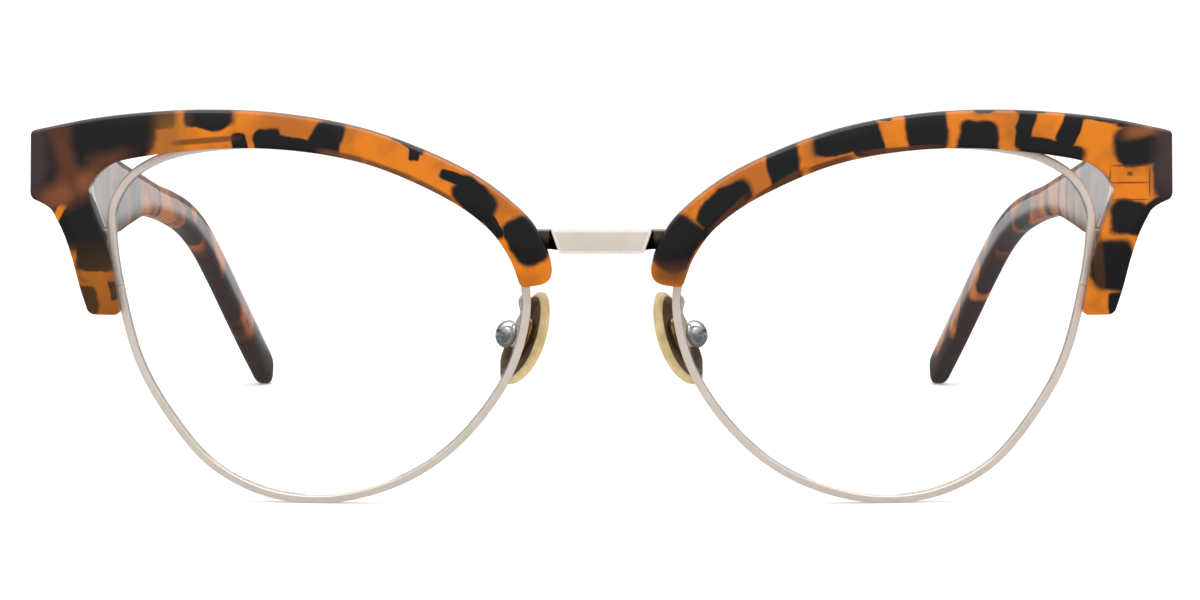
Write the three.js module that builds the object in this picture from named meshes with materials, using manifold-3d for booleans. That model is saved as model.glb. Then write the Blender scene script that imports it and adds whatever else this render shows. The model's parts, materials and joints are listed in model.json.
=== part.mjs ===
// Browline eyeglasses: acetate brows over full metal eyewires, a metal bridge, two swivelling nose pads
// and two folding acetate temples. Millimetres, +Z up, the front faces -Y, and the temples run towards +Y.
// X = 0 is the mirror plane. Every paired piece is drawn once, on the wearer's left (+X), and mirrored.
// The frame stands on its two rims and its two temple tips at Z = 0.
import * as THREE from 'three';
import { mergeVertices } from 'three/addons/utils/BufferGeometryUtils.js';
import Module from 'manifold-3d';

const wasm = await Module();
wasm.setup();

// ---------------------------------------------------------------- driving dimensions
const WRAP_RADIUS_X = 320;       // the front curves back towards the temples
const WRAP_RADIUS_Z = 160;       // and is domed from top to bottom
const WRAP_CENTRE_Z = 25.8;
const GAP = 0.15;                // clearance between pieces that touch

const SETBACK = 71.9;            // the origin lies this far behind the front, midway to the tips

const BROW_THICK = 3.8;
const BROW_END_EXTRA = 1.6;      // the brow thickens into the end piece that carries the hinge
const BROW_BEVEL = 0.4;
const BROW_LIP = 1.55;           // acetate left in front of the rim
const END_PIECE_BACK = 12.6;     // flat face that the temple butts against

const RIM_FRONT = 1.7;           // rim front face, behind the brow's front face
const RIM_RADIAL = 1.0;
const RIM_DEPTH = 1.9;
const GROOVE_DEPTH = 0.38;
const RIM_STATIONS = 56;
const RIM_SPLIT = 0.3;           // the rim is cut here so that the lens can be fitted
const LENS_THICK = 1.2;
const LENS_GAP = 0.12;
const LENS_CENTRE = new THREE.Vector2(35, 22.5);
const INNER_RING = 0.5;          // a ring half way to the lens's centre carries its dome

const LOCK_Z = 26.9;             // height of the rim's cut and of its closing block
const LOCK_HALF = 2.15;
const LOCK_SCREW_X = 61.5;

const BRIDGE_Z = 33;
const BRIDGE_HALF_HEIGHT = 1.5;
const BRIDGE_TOP_HALF = 6.2;
const BRIDGE_BOTTOM_HALF = 5.15;
const NECK_HEIGHT = 2.4;

const PAD_CENTRE = new THREE.Vector3(9.15, 9.5, 20);
const PAD_INWARD = new THREE.Vector3(-0.81, 0.51, -0.28).normalize();   // the face that meets the nose
const PAD_UPWARD = new THREE.Vector3(-0.403, -0.144, 0.904);            // along the pad
const PAD_HALF_WIDTH = 3.5;
const PAD_HALF_LENGTH = 6.3;

const HINGE_X = 64.9;
const HINGE_Y = 14.05;
const HINGE_Z = 37.3;            // underside of the lowest barrel
const BARREL_PITCH = 0.98;
const BARREL_HEIGHT = 0.88;
const BARREL_RADIUS = 1.25;
const PIN_RADIUS = 0.55;
const PIN_HOLE = 0.75;
const SMALL_SCREW = 0.5;         // radius of the shank of the trim screws
const SMALL_HOLE = 0.65;

const TEMPLE_FRONT = 12.8;
const CORE_START = 26.6;
const CORE_END = 118;

// ---------------------------------------------------------------- looks
const TORTOISE = { color: 0x3a2317, roughness: 0.18, metalness: 0 };
const CHAMPAGNE = { color: 0xd8b9a0, roughness: 0.22, metalness: 1 };
const CREAM_METAL = { color: 0xd9cdbf, roughness: 0.3, metalness: 0.8 };
const STEEL = { color: 0xb9bcc0, roughness: 0.2, metalness: 1 };
const GOLD = { color: 0xc8a25e, roughness: 0.3, metalness: 1 };
const CLEAR = { color: 0xf4f8fa, roughness: 0.03, metalness: 0, transparent: true, opacity: 0.2 };
const SILICONE = { color: 0xd8c79a, roughness: 0.4, metalness: 0 };

// ---------------------------------------------------------------- helpers
const smoothstep = (from, to, value) => THREE.MathUtils.smoothstep(value, from, to);
const wrapDepth = (x, z) => x ** 2 / (2 * WRAP_RADIUS_X) + (z - WRAP_CENTRE_Z) ** 2 / (2 * WRAP_RADIUS_Z);
const pair = ([x, z]) => new THREE.Vector2(x, z);

// Moves every corner of a geometry: place(position) changes the vector in place.
function reshape(geometry, place) {
  const position = geometry.getAttribute('position');
  const point = new THREE.Vector3();
  for (let i = 0; i < position.count; i += 1) {
    point.fromBufferAttribute(position, i);
    place(point);
    position.setXYZ(i, point.x, point.y, point.z);
  }
  return geometry;
}

function solid(geometry) {
  const bare = geometry.clone();
  bare.deleteAttribute('normal');
  bare.deleteAttribute('uv');
  const merged = mergeVertices(bare, 1e-5);
  const vertProperties = Float32Array.from(merged.getAttribute('position').array);
  const triVerts = Uint32Array.from(merged.getIndex().array);
  return new wasm.Manifold(new wasm.Mesh({ numProp: 3, vertProperties, triVerts }));
}

function geometryOf(body) {
  const mesh = body.getMesh();
  const geometry = new THREE.BufferGeometry();
  geometry.setAttribute('position', new THREE.BufferAttribute(Float32Array.from(mesh.vertProperties), 3));
  geometry.setIndex(new THREE.BufferAttribute(Uint32Array.from(mesh.triVerts), 1));
  return geometry;
}

const cut = (body, tools) => tools.reduce((rest, tool) => rest.subtract(tool), body);
const join = (bodies) => bodies.reduce((whole, body) => whole.add(body));

// A plate drawn in front view (x, z), from front to back along Y.
function plate(shape, front, back, bevel = 0, curveSegments = 3) {
  const geometry = new THREE.ExtrudeGeometry(shape, {
    depth: back - front - 2 * bevel,
    curveSegments,
    bevelEnabled: bevel > 0,
    bevelThickness: bevel,
    bevelSize: bevel,
    bevelOffset: -bevel,
    bevelSegments: 1,
  });
  geometry.rotateX(Math.PI / 2);
  geometry.translate(0, back - bevel, 0);
  return geometry;
}

function box(x0, x1, y0, y1, z0, z1) {
  const geometry = new THREE.BoxGeometry(x1 - x0, y1 - y0, z1 - z0);
  geometry.translate((x0 + x1) / 2, (y0 + y1) / 2, (z0 + z1) / 2);
  return geometry;
}

// A round bar along Z, or along Y when it is turned.
function pinZ(radius, x, y, z0, z1, sides = 12) {
  const geometry = new THREE.CylinderGeometry(radius, radius, z1 - z0, sides);
  geometry.rotateX(Math.PI / 2);
  geometry.translate(x, y, (z0 + z1) / 2);
  return geometry;
}

function pinY(radius, x, z, y0, y1, sides = 12) {
  const geometry = new THREE.CylinderGeometry(radius, radius, y1 - y0, sides);
  geometry.translate(x, (y0 + y1) / 2, z);
  return geometry;
}

// A slotted screw along +Z: the shank stands on z = 0 and the head ends it.
function slottedScrew(radius, length, headRadius, headHeight) {
  const profile = [
    [0, 0],
    [radius, 0],
    [radius, length],
    [headRadius, length],
    [headRadius, length + 0.6 * headHeight],
    [0.72 * headRadius, length + headHeight],
    [0, length + headHeight],
  ];
  const lathe = new THREE.LatheGeometry(profile.map(pair), 12);
  lathe.rotateX(Math.PI / 2);
  const top = length + headHeight;
  const slot = box(-2 * headRadius, 2 * headRadius, -0.15, 0.15, top - 0.35 * headHeight, top + 1);
  return geometryOf(solid(lathe).subtract(solid(slot)));
}

// A closed skin through rings of points: every ring has the same number of corners.
// ends: 'cap' closes the first and last ring, 'loop' joins the last ring to the first.
function skin(rings, ends) {
  const corners = rings[0].length;
  const positions = rings.flat().flatMap((point) => [point.x, point.y, point.z]);
  const index = [];
  const bands = ends === 'loop' ? rings.length : rings.length - 1;
  for (let ring = 0; ring < bands; ring += 1) {
    const here = ring * corners;
    const next = ((ring + 1) % rings.length) * corners;
    for (let corner = 0; corner < corners; corner += 1) {
      const beside = (corner + 1) % corners;
      index.push(here + corner, next + corner, next + beside);
      index.push(here + corner, next + beside, here + beside);
    }
  }
  if (ends === 'cap') {
    const last = (rings.length - 1) * corners;
    const flat = THREE.ShapeUtils.triangulateShape(flattened(rings[0]), []);
    for (const [a, b, c] of flat) {
      index.push(a, b, c);
      index.push(last + a, last + c, last + b);
    }
  }
  const geometry = new THREE.BufferGeometry();
  geometry.setAttribute('position', new THREE.Float32BufferAttribute(positions, 3));
  geometry.setIndex(index);
  return facingOut(geometry);
}

// The corners of a plane ring in its own plane, for closing it with triangles.
function flattened(ring) {
  const origin = ring[0];
  const along = ring[1].clone().sub(origin).normalize();
  const normal = new THREE.Vector3();
  ring.forEach((point, i) => normal.add(point.clone().cross(ring[(i + 1) % ring.length])));
  normal.normalize();
  const across = normal.clone().cross(along);
  return ring.map((point) => {
    const arm = point.clone().sub(origin);
    return new THREE.Vector2(arm.dot(along), arm.dot(across));
  });
}

function facingOut(geometry) {
  const position = geometry.getAttribute('position');
  const index = geometry.getIndex();
  const [a, b, c] = [new THREE.Vector3(), new THREE.Vector3(), new THREE.Vector3()];
  let volume = 0;
  for (let i = 0; i < index.count; i += 3) {
    a.fromBufferAttribute(position, index.getX(i));
    b.fromBufferAttribute(position, index.getX(i + 1));
    c.fromBufferAttribute(position, index.getX(i + 2));
    volume += a.dot(b.cross(c));
  }
  return volume > 0 ? geometry : turnedOver(geometry);
}

function turnedOver(geometry) {
  const index = geometry.getIndex();
  for (let i = 0; i < index.count; i += 3) {
    const first = index.getX(i);
    index.setX(i, index.getX(i + 1));
    index.setX(i + 1, first);
  }
  return geometry;
}

// ---------------------------------------------------------------- eyewire and lens
// The rim's outer edge in front view, from its cut at the temporal side, over the top, to the nose.
const RIM_OUTLINE = [
  [60.15, LOCK_Z], [61.0, 33], [60.9, 36.8], [58.6, 40.7], [54.6, 43.2], [49.4, 44.5],
  [42, 45.05], [33.3, 44.45], [24.7, 42.05], [17.3, 38.3], [12.05, 34.05], [9.45, 30],
  [8.65, 25.6], [9.25, 20.9], [11.1, 15.9], [14.9, 10.2], [19.9, 5.35], [26.2, 1.85],
  [34.3, 0], [42.1, 0.9], [48.8, 4.5], [54, 10.7], [57.7, 17.4],
];
const rimCurve = new THREE.CatmullRomCurve3(
  RIM_OUTLINE.map(([x, z]) => new THREE.Vector3(x, 0, z)), true, 'centripetal');

// A point at a share u of the way round the rim, moved outwards in front view by `out`.
function rimPoint(u, out) {
  const point = rimCurve.getPointAt(u);
  const along = rimCurve.getTangentAt(u);
  return new THREE.Vector2(point.x + along.z * out, point.z - along.x * out);
}

const stationShare = (station) => station / RIM_STATIONS;

// One ring of the rim's section: pairs of [outwards, depth behind the rim's front].
function sectionRing(u, section) {
  return section.map(([out, depth]) => {
    const { x, y: z } = rimPoint(u, out);
    return new THREE.Vector3(x, wrapDepth(x, z) + RIM_FRONT + depth, z);
  });
}

function rim() {
  const edge = 0.22;
  const half = GROOVE_DEPTH + 0.12;
  const middle = RIM_DEPTH / 2;
  const section = [
    [0, edge], [-edge, 0], [-RIM_RADIAL + edge, 0], [-RIM_RADIAL, edge],
    [-RIM_RADIAL, middle - half], [-RIM_RADIAL + GROOVE_DEPTH, middle], [-RIM_RADIAL, middle + half],
    [-RIM_RADIAL, RIM_DEPTH - edge], [-RIM_RADIAL + edge, RIM_DEPTH], [-edge, RIM_DEPTH],
    [0, RIM_DEPTH - edge],
  ];
  const halfSplit = RIM_SPLIT / 2 / rimCurve.getLength();
  const shares = [halfSplit];
  for (let station = 1; station < RIM_STATIONS; station += 1) {
    shares.push(stationShare(station));
  }
  shares.push(1 - halfSplit);
  return skin(shares.map((u) => sectionRing(u, section)), 'cap');
}

function lens() {
  const edge = -RIM_RADIAL - LENS_GAP;
  const middle = RIM_DEPTH / 2;
  const half = LENS_THICK / 2;
  const base = GROOVE_DEPTH + 0.12;
  const bevel = [
    [edge, middle - half], [edge, middle - base], [edge + GROOVE_DEPTH, middle],
    [edge, middle + base], [edge, middle + half],
  ];
  const rings = [];
  const faceRing = (share, depth) => {
    const ring = [];
    for (let station = 0; station < RIM_STATIONS; station += 1) {
      const point = rimPoint(stationShare(station), edge).lerp(LENS_CENTRE, 1 - share);
      const y = wrapDepth(point.x, point.y) + RIM_FRONT + depth;
      ring.push(new THREE.Vector3(point.x, y, point.y));
    }
    return ring;
  };
  rings.push(faceRing(INNER_RING, middle - half));
  const edgeRings = bevel.map(() => []);
  for (let station = 0; station < RIM_STATIONS; station += 1) {
    sectionRing(stationShare(station), bevel).forEach((point, i) => edgeRings[i].push(point));
  }
  rings.push(...edgeRings);
  rings.push(faceRing(INNER_RING, middle + half));
  return skin(rings, 'cap');
}

// Everything inside the rim's outer edge, and a gap beyond it, from `front` backwards.
function rimCutter(front) {
  const points = [];
  for (let station = 0; station < RIM_STATIONS; station += 1) {
    points.push(rimPoint(stationShare(station), GAP));
  }
  const geometry = plate(new THREE.Shape(points), front, 12);
  return solid(reshape(geometry, (point) => {
    point.y += wrapDepth(point.x, point.z);
  }));
}

// ---------------------------------------------------------------- brow
function browShape() {
  const shape = new THREE.Shape();
  shape.moveTo(70.1, 46.1);
  shape.splineThru([
    [61.2, 47.75], [50, 48.65], [38.8, 48.2], [27.7, 46.05], [16.6, 41.5], [9.6, 36.4], [6.8, 32.3],
    [6.05, 29.6],
  ].map(pair));
  shape.quadraticCurveTo(5.9, 27.9, 7.6, 27.55);
  shape.lineTo(9.1, 27.3);
  shape.quadraticCurveTo(9.9, 27.2, 10.15, 28.1);
  shape.splineThru([
    [11.3, 31], [13.9, 34.5], [18.7, 37.95], [26.4, 41.45], [33.2, 43.2], [40.6, 44], [48, 43.95], [55, 43.2],
  ].map(pair));
  shape.splineThru([[60, 42.15], [62.9, 39.9], [63, 37.5], [61.3, 33.1]].map(pair));
  shape.splineThru([[60.5, 30.4], [60.1, 28], [59.5, 24.2]].map(pair));
  shape.quadraticCurveTo(59.5, 23.4, 60.2, 23.4);
  shape.lineTo(62.4, 23.4);
  shape.quadraticCurveTo(63.3, 23.4, 63.6, 24.1);
  shape.splineThru([[64.5, 26.9], [65.4, 30.3], [66.5, 33.5], [67.9, 36.2]].map(pair));
  shape.quadraticCurveTo(68.5, 36.9, 70.1, 37.5);
  shape.quadraticCurveTo(70.7, 37.8, 70.7, 38.6);
  shape.lineTo(70.65, 45.5);
  shape.quadraticCurveTo(70.6, 46, 70.1, 46.1);
  return shape;
}

// A box that follows the front's curve: y0 and y1 are depths behind the front face.
function wrappedBox(x0, x1, y0, y1, z0, z1) {
  const depth = wrapDepth((x0 + x1) / 2, (z0 + z1) / 2);
  return solid(box(x0, x1, y0 + depth, y1 + depth, z0, z1));
}

const BEYOND = 12;               // deep enough to leave the brow at its back
const NASAL_SCREW = { x: 8.7, z: BRIDGE_Z };
const TAB = { x0: 60.2, x1: 64, z0: 31.2, z1: 33.8, front: 2.6, back: 3.4 };
const TAB_SCREW = { x: 62.7, z: 32.5 };
const LEAF = { x0: 64, x1: 68.4, z0: 37.7, z1: 41.7, front: 11.4, back: 12.3 };

function brow() {
  const geometry = reshape(plate(browShape(), 0, BROW_THICK, BROW_BEVEL), (point) => {
    const end = point.y > BROW_THICK / 2 ? BROW_END_EXTRA * smoothstep(50, 65, point.x) : 0;
    point.y += wrapDepth(point.x, point.z) + end;
  });
  const tabDepth = wrapDepth(TAB_SCREW.x, TAB_SCREW.z);
  return geometryOf(cut(solid(geometry), [
    rimCutter(BROW_LIP),
    wrappedBox(58, 62.75, BROW_LIP, BEYOND, LOCK_Z - LOCK_HALF - 0.35, LOCK_Z + LOCK_HALF + 1.1),
    wrappedBox(5, 12.5, 1.95, BEYOND, BRIDGE_Z - NECK_HEIGHT / 2 - 0.2, BRIDGE_Z + NECK_HEIGHT / 2 + 0.2),
    wrappedBox(58, TAB.x1 + 0.2, TAB.front - 0.2, BEYOND, TAB.z0 - 0.2, TAB.z1 + 0.2),
    solid(box(LEAF.x0 - 0.2, LEAF.x1 + 0.2, LEAF.front - 0.2, 20, LEAF.z0 - 0.2, LEAF.z1 + 0.2)),
    solid(pinY(SMALL_HOLE, NASAL_SCREW.x, NASAL_SCREW.z, 1.0, 3)),
    solid(pinY(SMALL_HOLE, TAB_SCREW.x, TAB_SCREW.z, tabDepth + 1.0, tabDepth + 3)),
    solid(box(55, 80, END_PIECE_BACK, 20, 20, 60)),
  ]));
}

// ---------------------------------------------------------------- rim fittings
// The two halves of the block that closes the rim, one soldered on each side of its cut.
function rimLock(lower) {
  const depth = wrapDepth(60.8, LOCK_Z) + RIM_FRONT;
  const near = RIM_SPLIT / 2;
  const [z0, z1] = lower ? [-LOCK_HALF, -near] : [near, LOCK_HALF];
  const block = solid(box(59.4, 62.5, depth + 0.1, depth + 1.8, LOCK_Z + z0, LOCK_Z + z1));
  const hole = solid(pinZ(SMALL_HOLE, LOCK_SCREW_X, depth + 0.95, LOCK_Z - 4, LOCK_Z + 4));
  return geometryOf(cut(block, [rimCutter(0), hole]));
}

function rimLockScrew() {
  const depth = wrapDepth(60.8, LOCK_Z) + RIM_FRONT;
  const screw = slottedScrew(SMALL_SCREW, 2 * LOCK_HALF + 0.1, 0.8, 0.6);
  return screw.translate(LOCK_SCREW_X, depth + 0.95, LOCK_Z - LOCK_HALF);
}

// The tab on the rim's temporal side that a screw ties to the back of the brow.
function rimTab() {
  const depth = wrapDepth(TAB_SCREW.x, TAB_SCREW.z);
  const shape = new THREE.Shape();
  const round = (TAB.z1 - TAB.z0) / 2;
  const middle = (TAB.z0 + TAB.z1) / 2;
  shape.moveTo(TAB.x0, TAB.z0);
  shape.lineTo(TAB.x1 - round, TAB.z0);
  shape.absarc(TAB.x1 - round, middle, round, -Math.PI / 2, Math.PI / 2, false);
  shape.lineTo(TAB.x0, TAB.z1);
  const tab = solid(plate(shape, depth + TAB.front, depth + TAB.back));
  const hole = solid(pinY(SMALL_HOLE, TAB_SCREW.x, TAB_SCREW.z, 0, 20));
  return geometryOf(cut(tab, [rimCutter(0), hole]));
}

// A trim screw along Y whose head faces the back.
function trimScrew({ x, z }, tip, seat) {
  const screw = slottedScrew(SMALL_SCREW, seat - tip, 0.85, 0.55);
  screw.rotateX(-Math.PI / 2);
  return screw.translate(x, tip, z);
}

// ---------------------------------------------------------------- bridge
function bridge() {
  const front = -1.25;
  const back = 0.65;
  const shape = new THREE.Shape();
  const top = BRIDGE_Z + BRIDGE_HALF_HEIGHT;
  const bottom = BRIDGE_Z - BRIDGE_HALF_HEIGHT;
  shape.moveTo(-BRIDGE_TOP_HALF, top);
  shape.lineTo(-BRIDGE_BOTTOM_HALF, bottom);
  shape.lineTo(BRIDGE_BOTTOM_HALF, bottom);
  shape.lineTo(BRIDGE_TOP_HALF, top);
  const bar = solid(plate(shape, front, back, 0.35));
  const necks = [1, -1].map((side) => {
    const neck = new THREE.Shape();
    neck.moveTo(side * 3.9, 0.2);
    neck.lineTo(side * 4.9, 0.2);
    neck.lineTo(side * 6.35, 2.45);
    neck.lineTo(side * 12.5, 2.45);
    neck.lineTo(side * 12.5, 3.6);
    neck.lineTo(side * 6.2, 3.6);
    neck.quadraticCurveTo(side * 5.6, 3.6, side * 5.2, 3.0);
    const extrusion = { depth: NECK_HEIGHT, bevelEnabled: false, curveSegments: 4 };
    const geometry = new THREE.ExtrudeGeometry(neck, extrusion);
    geometry.translate(0, 0, BRIDGE_Z - NECK_HEIGHT / 2);
    const hole = solid(pinY(SMALL_HOLE, side * NASAL_SCREW.x, NASAL_SCREW.z, 0, 20));
    return solid(geometry).subtract(hole);
  });
  const rims = [rimCutter(0), rimCutter(0).mirror([1, 0, 0])];
  return geometryOf(cut(join([bar, ...necks]), rims));
}

// ---------------------------------------------------------------- nose pads
// The pad's own frame: x across, y along the stud towards the nose, z up the pad.
const padBasis = new THREE.Matrix4();
const padAcross = new THREE.Vector3().crossVectors(PAD_INWARD, PAD_UPWARD).normalize();
const padAlong = new THREE.Vector3().crossVectors(padAcross, PAD_INWARD).normalize();
padBasis.makeBasis(padAcross, PAD_INWARD, padAlong).setPosition(PAD_CENTRE);
const inPad = (geometry) => geometry.applyMatrix4(padBasis);
const padPoint = (x, y, z) => new THREE.Vector3(x, y, z).applyMatrix4(padBasis);

const EYELET = { near: -1.7, far: -2.6, radius: 1.4, hole: 0.8 };

function nosePad() {
  const profile = [
    [0, 1.3], [0.5, 1.18], [0.8, 0.85], [0.96, 0.35], [1, -0.1], [0.95, -0.65],
    [0.82, -1.0], [0.7, -1.05], [0.6, -0.75], [0.56, -0.3], [0, -0.3],
  ];
  const lathe = new THREE.LatheGeometry(profile.map(pair).reverse(), 22);
  lathe.scale(PAD_HALF_WIDTH, 1, PAD_HALF_LENGTH);
  return inPad(reshape(lathe, (point) => {
    const height = point.z / PAD_HALF_LENGTH;
    point.x *= 1 - 0.12 * height;
    point.x += 0.9 * height ** 2 - 0.3;
  }));
}

// The stud: an oval plate in the pad's back and a post through the arm's eyelet.
function padStud() {
  const plateEdge = [[0, -1.0], [0.95, -1.0], [1, -0.9], [1, -0.5], [0, -0.5]];
  const oval = new THREE.LatheGeometry(plateEdge.map(pair), 20);
  oval.scale(1.45, 1, 2.7);
  const post = new THREE.LatheGeometry([[0, -3.15], [0.55, -3.15], [0.55, -0.7], [0, -0.7]].map(pair), 14);
  return inPad(geometryOf(join([solid(oval), solid(post)])));
}

// The polished domed nut on the far end of the post.
function padNut() {
  const profile = [[0, -4.5]];
  for (const turn of [15, 35, 55, 75]) {
    const angle = THREE.MathUtils.degToRad(turn);
    profile.push([1.75 * Math.sin(angle), -3 - 1.5 * Math.cos(angle)]);
  }
  profile.push([1.75, -3], [1.6, -2.75], [0.75, -2.75], [0.75, -3.35], [0, -3.35]);
  return inPad(new THREE.LatheGeometry(profile.map(pair), 18));
}

// A wire from the back of the rim to the eyelet that holds the stud.
function padArm() {
  const ring = new THREE.LatheGeometry([
    [EYELET.hole, EYELET.far], [EYELET.radius, EYELET.far],
    [EYELET.radius, EYELET.near], [EYELET.hole, EYELET.near], [EYELET.hole, EYELET.far],
  ].map(pair), 18);
  const rimBack = wrapDepth(9.2, 25.5) + RIM_FRONT + RIM_DEPTH + GAP;
  const middle = (EYELET.near + EYELET.far) / 2;
  const path = new THREE.CatmullRomCurve3([
    new THREE.Vector3(9.2, rimBack, 25.4),
    new THREE.Vector3(9.25, 5.4, 25.6),
    new THREE.Vector3(9.8, 7.3, 25.0),
    padPoint(0, middle, 3.2),
    padPoint(0, middle, 1.1),
  ]);
  const wireShape = new THREE.Shape();
  wireShape.absarc(0, 0, 0.5, 0, 2 * Math.PI, false);
  const wire = new THREE.ExtrudeGeometry(wireShape, { extrudePath: path, steps: 12, curveSegments: 4 });
  return geometryOf(join([solid(inPad(ring)), solid(wire)]));
}

// ---------------------------------------------------------------- hinge
const barrelBottom = (level) => HINGE_Z + level * BARREL_PITCH;

function barrel(level) {
  const bottom = barrelBottom(level);
  return pinZ(BARREL_RADIUS, HINGE_X, HINGE_Y, bottom, bottom + BARREL_HEIGHT, 16);
}

const hingeHole = () => solid(pinZ(PIN_HOLE, HINGE_X, HINGE_Y, HINGE_Z - 2, HINGE_Z + 8));

function hingeFront() {
  const bodies = [solid(box(LEAF.x0, LEAF.x1, LEAF.front, LEAF.back, LEAF.z0, LEAF.z1))];
  for (const level of [0, 2, 4]) {
    const bottom = barrelBottom(level);
    const web = box(LEAF.x0, HINGE_X + 0.9, LEAF.front + 0.1, HINGE_Y, bottom, bottom + BARREL_HEIGHT);
    const trimmed = solid(web).intersect(solid(box(0, 80, 0, 40, LEAF.z0, LEAF.z1)));
    const outside = solid(web).intersect(solid(box(0, 80, END_PIECE_BACK + GAP, 40, 0, 60)));
    bodies.push(trimmed, outside, solid(barrel(level)));
  }
  return geometryOf(join(bodies).subtract(hingeHole()));
}

const TEMPLE_LEAF = { x0: 66.55, x1: 67.35, y0: 13.3, y1: 26, z0: 38.6, z1: 41.3 };

function hingeTemple() {
  const { x0, x1, y0, y1, z0, z1 } = TEMPLE_LEAF;
  const bodies = [solid(box(x0, x1, y0, y1, z0, z1))];
  for (const level of [1, 3]) {
    const bottom = Math.max(barrelBottom(level), z0);
    const top = barrelBottom(level) + BARREL_HEIGHT;
    const web = box(HINGE_X, x0 + 0.3, HINGE_Y - 0.7, HINGE_Y + 0.9, bottom, top);
    bodies.push(solid(web), solid(barrel(level)));
  }
  return geometryOf(join(bodies).subtract(hingeHole()));
}

function hingeScrew() {
  const top = barrelBottom(4) + BARREL_HEIGHT + 0.1;
  const screw = slottedScrew(PIN_RADIUS, top - HINGE_Z, 1.05, 0.7);
  return screw.translate(HINGE_X, HINGE_Y, HINGE_Z);
}

// ---------------------------------------------------------------- temple
// Along the temple: [y, centre x, centre z, height, thickness].
const TEMPLE_STATIONS = [
  [TEMPLE_FRONT, 68.4, 41.9, 8.2, 4.2],
  [22, 68.1, 40.4, 9.4, 4.1],
  [32, 67.7, 38.3, 11.3, 3.9],
  [43, 67.2, 36.4, 11.8, 3.7],
  [53, 66.6, 35.3, 10.2, 3.5],
  [63, 66, 34.7, 8, 3.4],
  [74, 65.2, 34, 5.8, 3.2],
  [84, 64.4, 32.7, 4.8, 3.2],
  [95, 63.3, 31, 4.8, 3.2],
  [105, 62, 28.7, 5, 3.2],
  [113, 60.7, 25.4, 5.3, 3.2],
  [121, 59.2, 20.4, 5.6, 3.2],
  [129, 57.4, 14.2, 5.8, 3.2],
  [136, 55.6, 8.3, 5.9, 3.2],
  [142, 53.9, 3, 5.8, 3.1],
];
const TIP_LENGTH = 0.55;         // of the rounded tip, as a share of the last height
const TIP_SHARES = [0.5, 0.8, 0.95];    // rings of the rounded tip, as shares of its length
const CORNERS = 14;              // around the temple

const templeCurve = new THREE.CatmullRomCurve3(
  TEMPLE_STATIONS.map(([y, x, z]) => new THREE.Vector3(x, y, z)), false, 'centripetal');

// Height and thickness along the temple, at the same parameter as its centre line.
const templeSizes = new THREE.SplineCurve(
  TEMPLE_STATIONS.map(([, , , height, thickness]) => new THREE.Vector2(height, thickness)));

// A ring across the temple: half sizes along X and along the height, and how square its corners are.
function templeRing(point, tangent, halfThick, halfHeight, squareness) {
  const up = new THREE.Vector3(0, -tangent.z, tangent.y).normalize();
  const ring = [];
  for (let i = 0; i < CORNERS; i += 1) {
    const angle = ((i + 0.5) * 2 * Math.PI) / CORNERS;
    const cos = Math.cos(angle);
    const sin = Math.sin(angle);
    const x = Math.sign(cos) * Math.abs(cos) ** (2 / squareness) * halfThick;
    const height = Math.sign(sin) * Math.abs(sin) ** (2 / squareness) * halfHeight;
    ring.push(point.clone().addScaledVector(up, height).add(new THREE.Vector3(x, 0, 0)));
  }
  return ring;
}

function temple() {
  const steps = 24;
  const rings = [];
  for (let step = 0; step <= steps; step += 1) {
    const share = templeCurve.getUtoTmapping(step / steps);
    const point = templeCurve.getPoint(share);
    const tangent = step === 0 ? new THREE.Vector3(0, 1, 0) : templeCurve.getTangent(share);
    const size = templeSizes.getPoint(share);
    const squareness = THREE.MathUtils.lerp(6, 3, smoothstep(30, 90, point.y));
    rings.push(templeRing(point, tangent, size.y / 2, size.x / 2, squareness));
  }
  const end = templeCurve.getPointAt(1);
  const tangent = templeCurve.getTangentAt(1);
  const [, , , height, thick] = TEMPLE_STATIONS.at(-1);
  for (const share of TIP_SHARES) {
    const size = Math.sqrt(1 - share ** 2);
    const point = end.clone().addScaledVector(tangent, share * height * TIP_LENGTH);
    rings.push(templeRing(point, tangent, (thick / 2) * size, (height / 2) * size, 3));
  }
  const { x1, y1, z0, z1 } = TEMPLE_LEAF;
  const pocket = solid(box(60, x1 + GAP, 10, y1 + 0.2, z0 - 0.2, z1 + 0.2));
  const channel = solid(coreBar(0.2, CORE_START - 1.2, CORE_END + 0.4));
  return geometryOf(cut(solid(skin(rings, 'cap')), [pocket, channel]));
}

// The flat wire inside the temple. `grow` makes the channel that it lies in.
function coreBar(grow, from, to) {
  const steps = 20;
  const rings = [];
  for (let step = 0; step <= steps; step += 1) {
    const y = THREE.MathUtils.lerp(from, to, step / steps);
    const x = THREE.MathUtils.lerp(TEMPLE_LEAF.x1 - 0.5, alongCurve(y).x, smoothstep(28, 45, y));
    const z = THREE.MathUtils.lerp(39.9, alongCurve(y).z, smoothstep(24, 34, y));
    const slope = new THREE.Vector3(0, 1, (alongCurve(y + 1).z - alongCurve(y - 1).z) / 2);
    const up = new THREE.Vector3(0, -slope.z, 1).normalize();
    const across = new THREE.Vector3(0.5 + grow, 0, 0);
    const rise = up.multiplyScalar(0.8 + grow);
    const centre = new THREE.Vector3(x, y, z);
    rings.push([
      centre.clone().add(across).add(rise), centre.clone().sub(across).add(rise),
      centre.clone().sub(across).sub(rise), centre.clone().add(across).sub(rise),
    ]);
  }
  return skin(rings, 'cap');
}

// The temple's centre at a place along Y.
function alongCurve(y) {
  let [low, high] = [0, 1];
  for (let i = 0; i < 30; i += 1) {
    const middle = (low + high) / 2;
    if (templeCurve.getPoint(middle).y < y) {
      low = middle;
    } else {
      high = middle;
    }
  }
  return templeCurve.getPoint((low + high) / 2);
}

// ---------------------------------------------------------------- assembly
const glasses = new THREE.Group();
glasses.name = 'browline_eyeglasses';
glasses.position.y = -SETBACK;

function addPiece(name, geometry, look) {
  const mesh = new THREE.Mesh(geometry, new THREE.MeshStandardMaterial(look));
  mesh.name = name;
  glasses.add(mesh);
}

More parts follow.
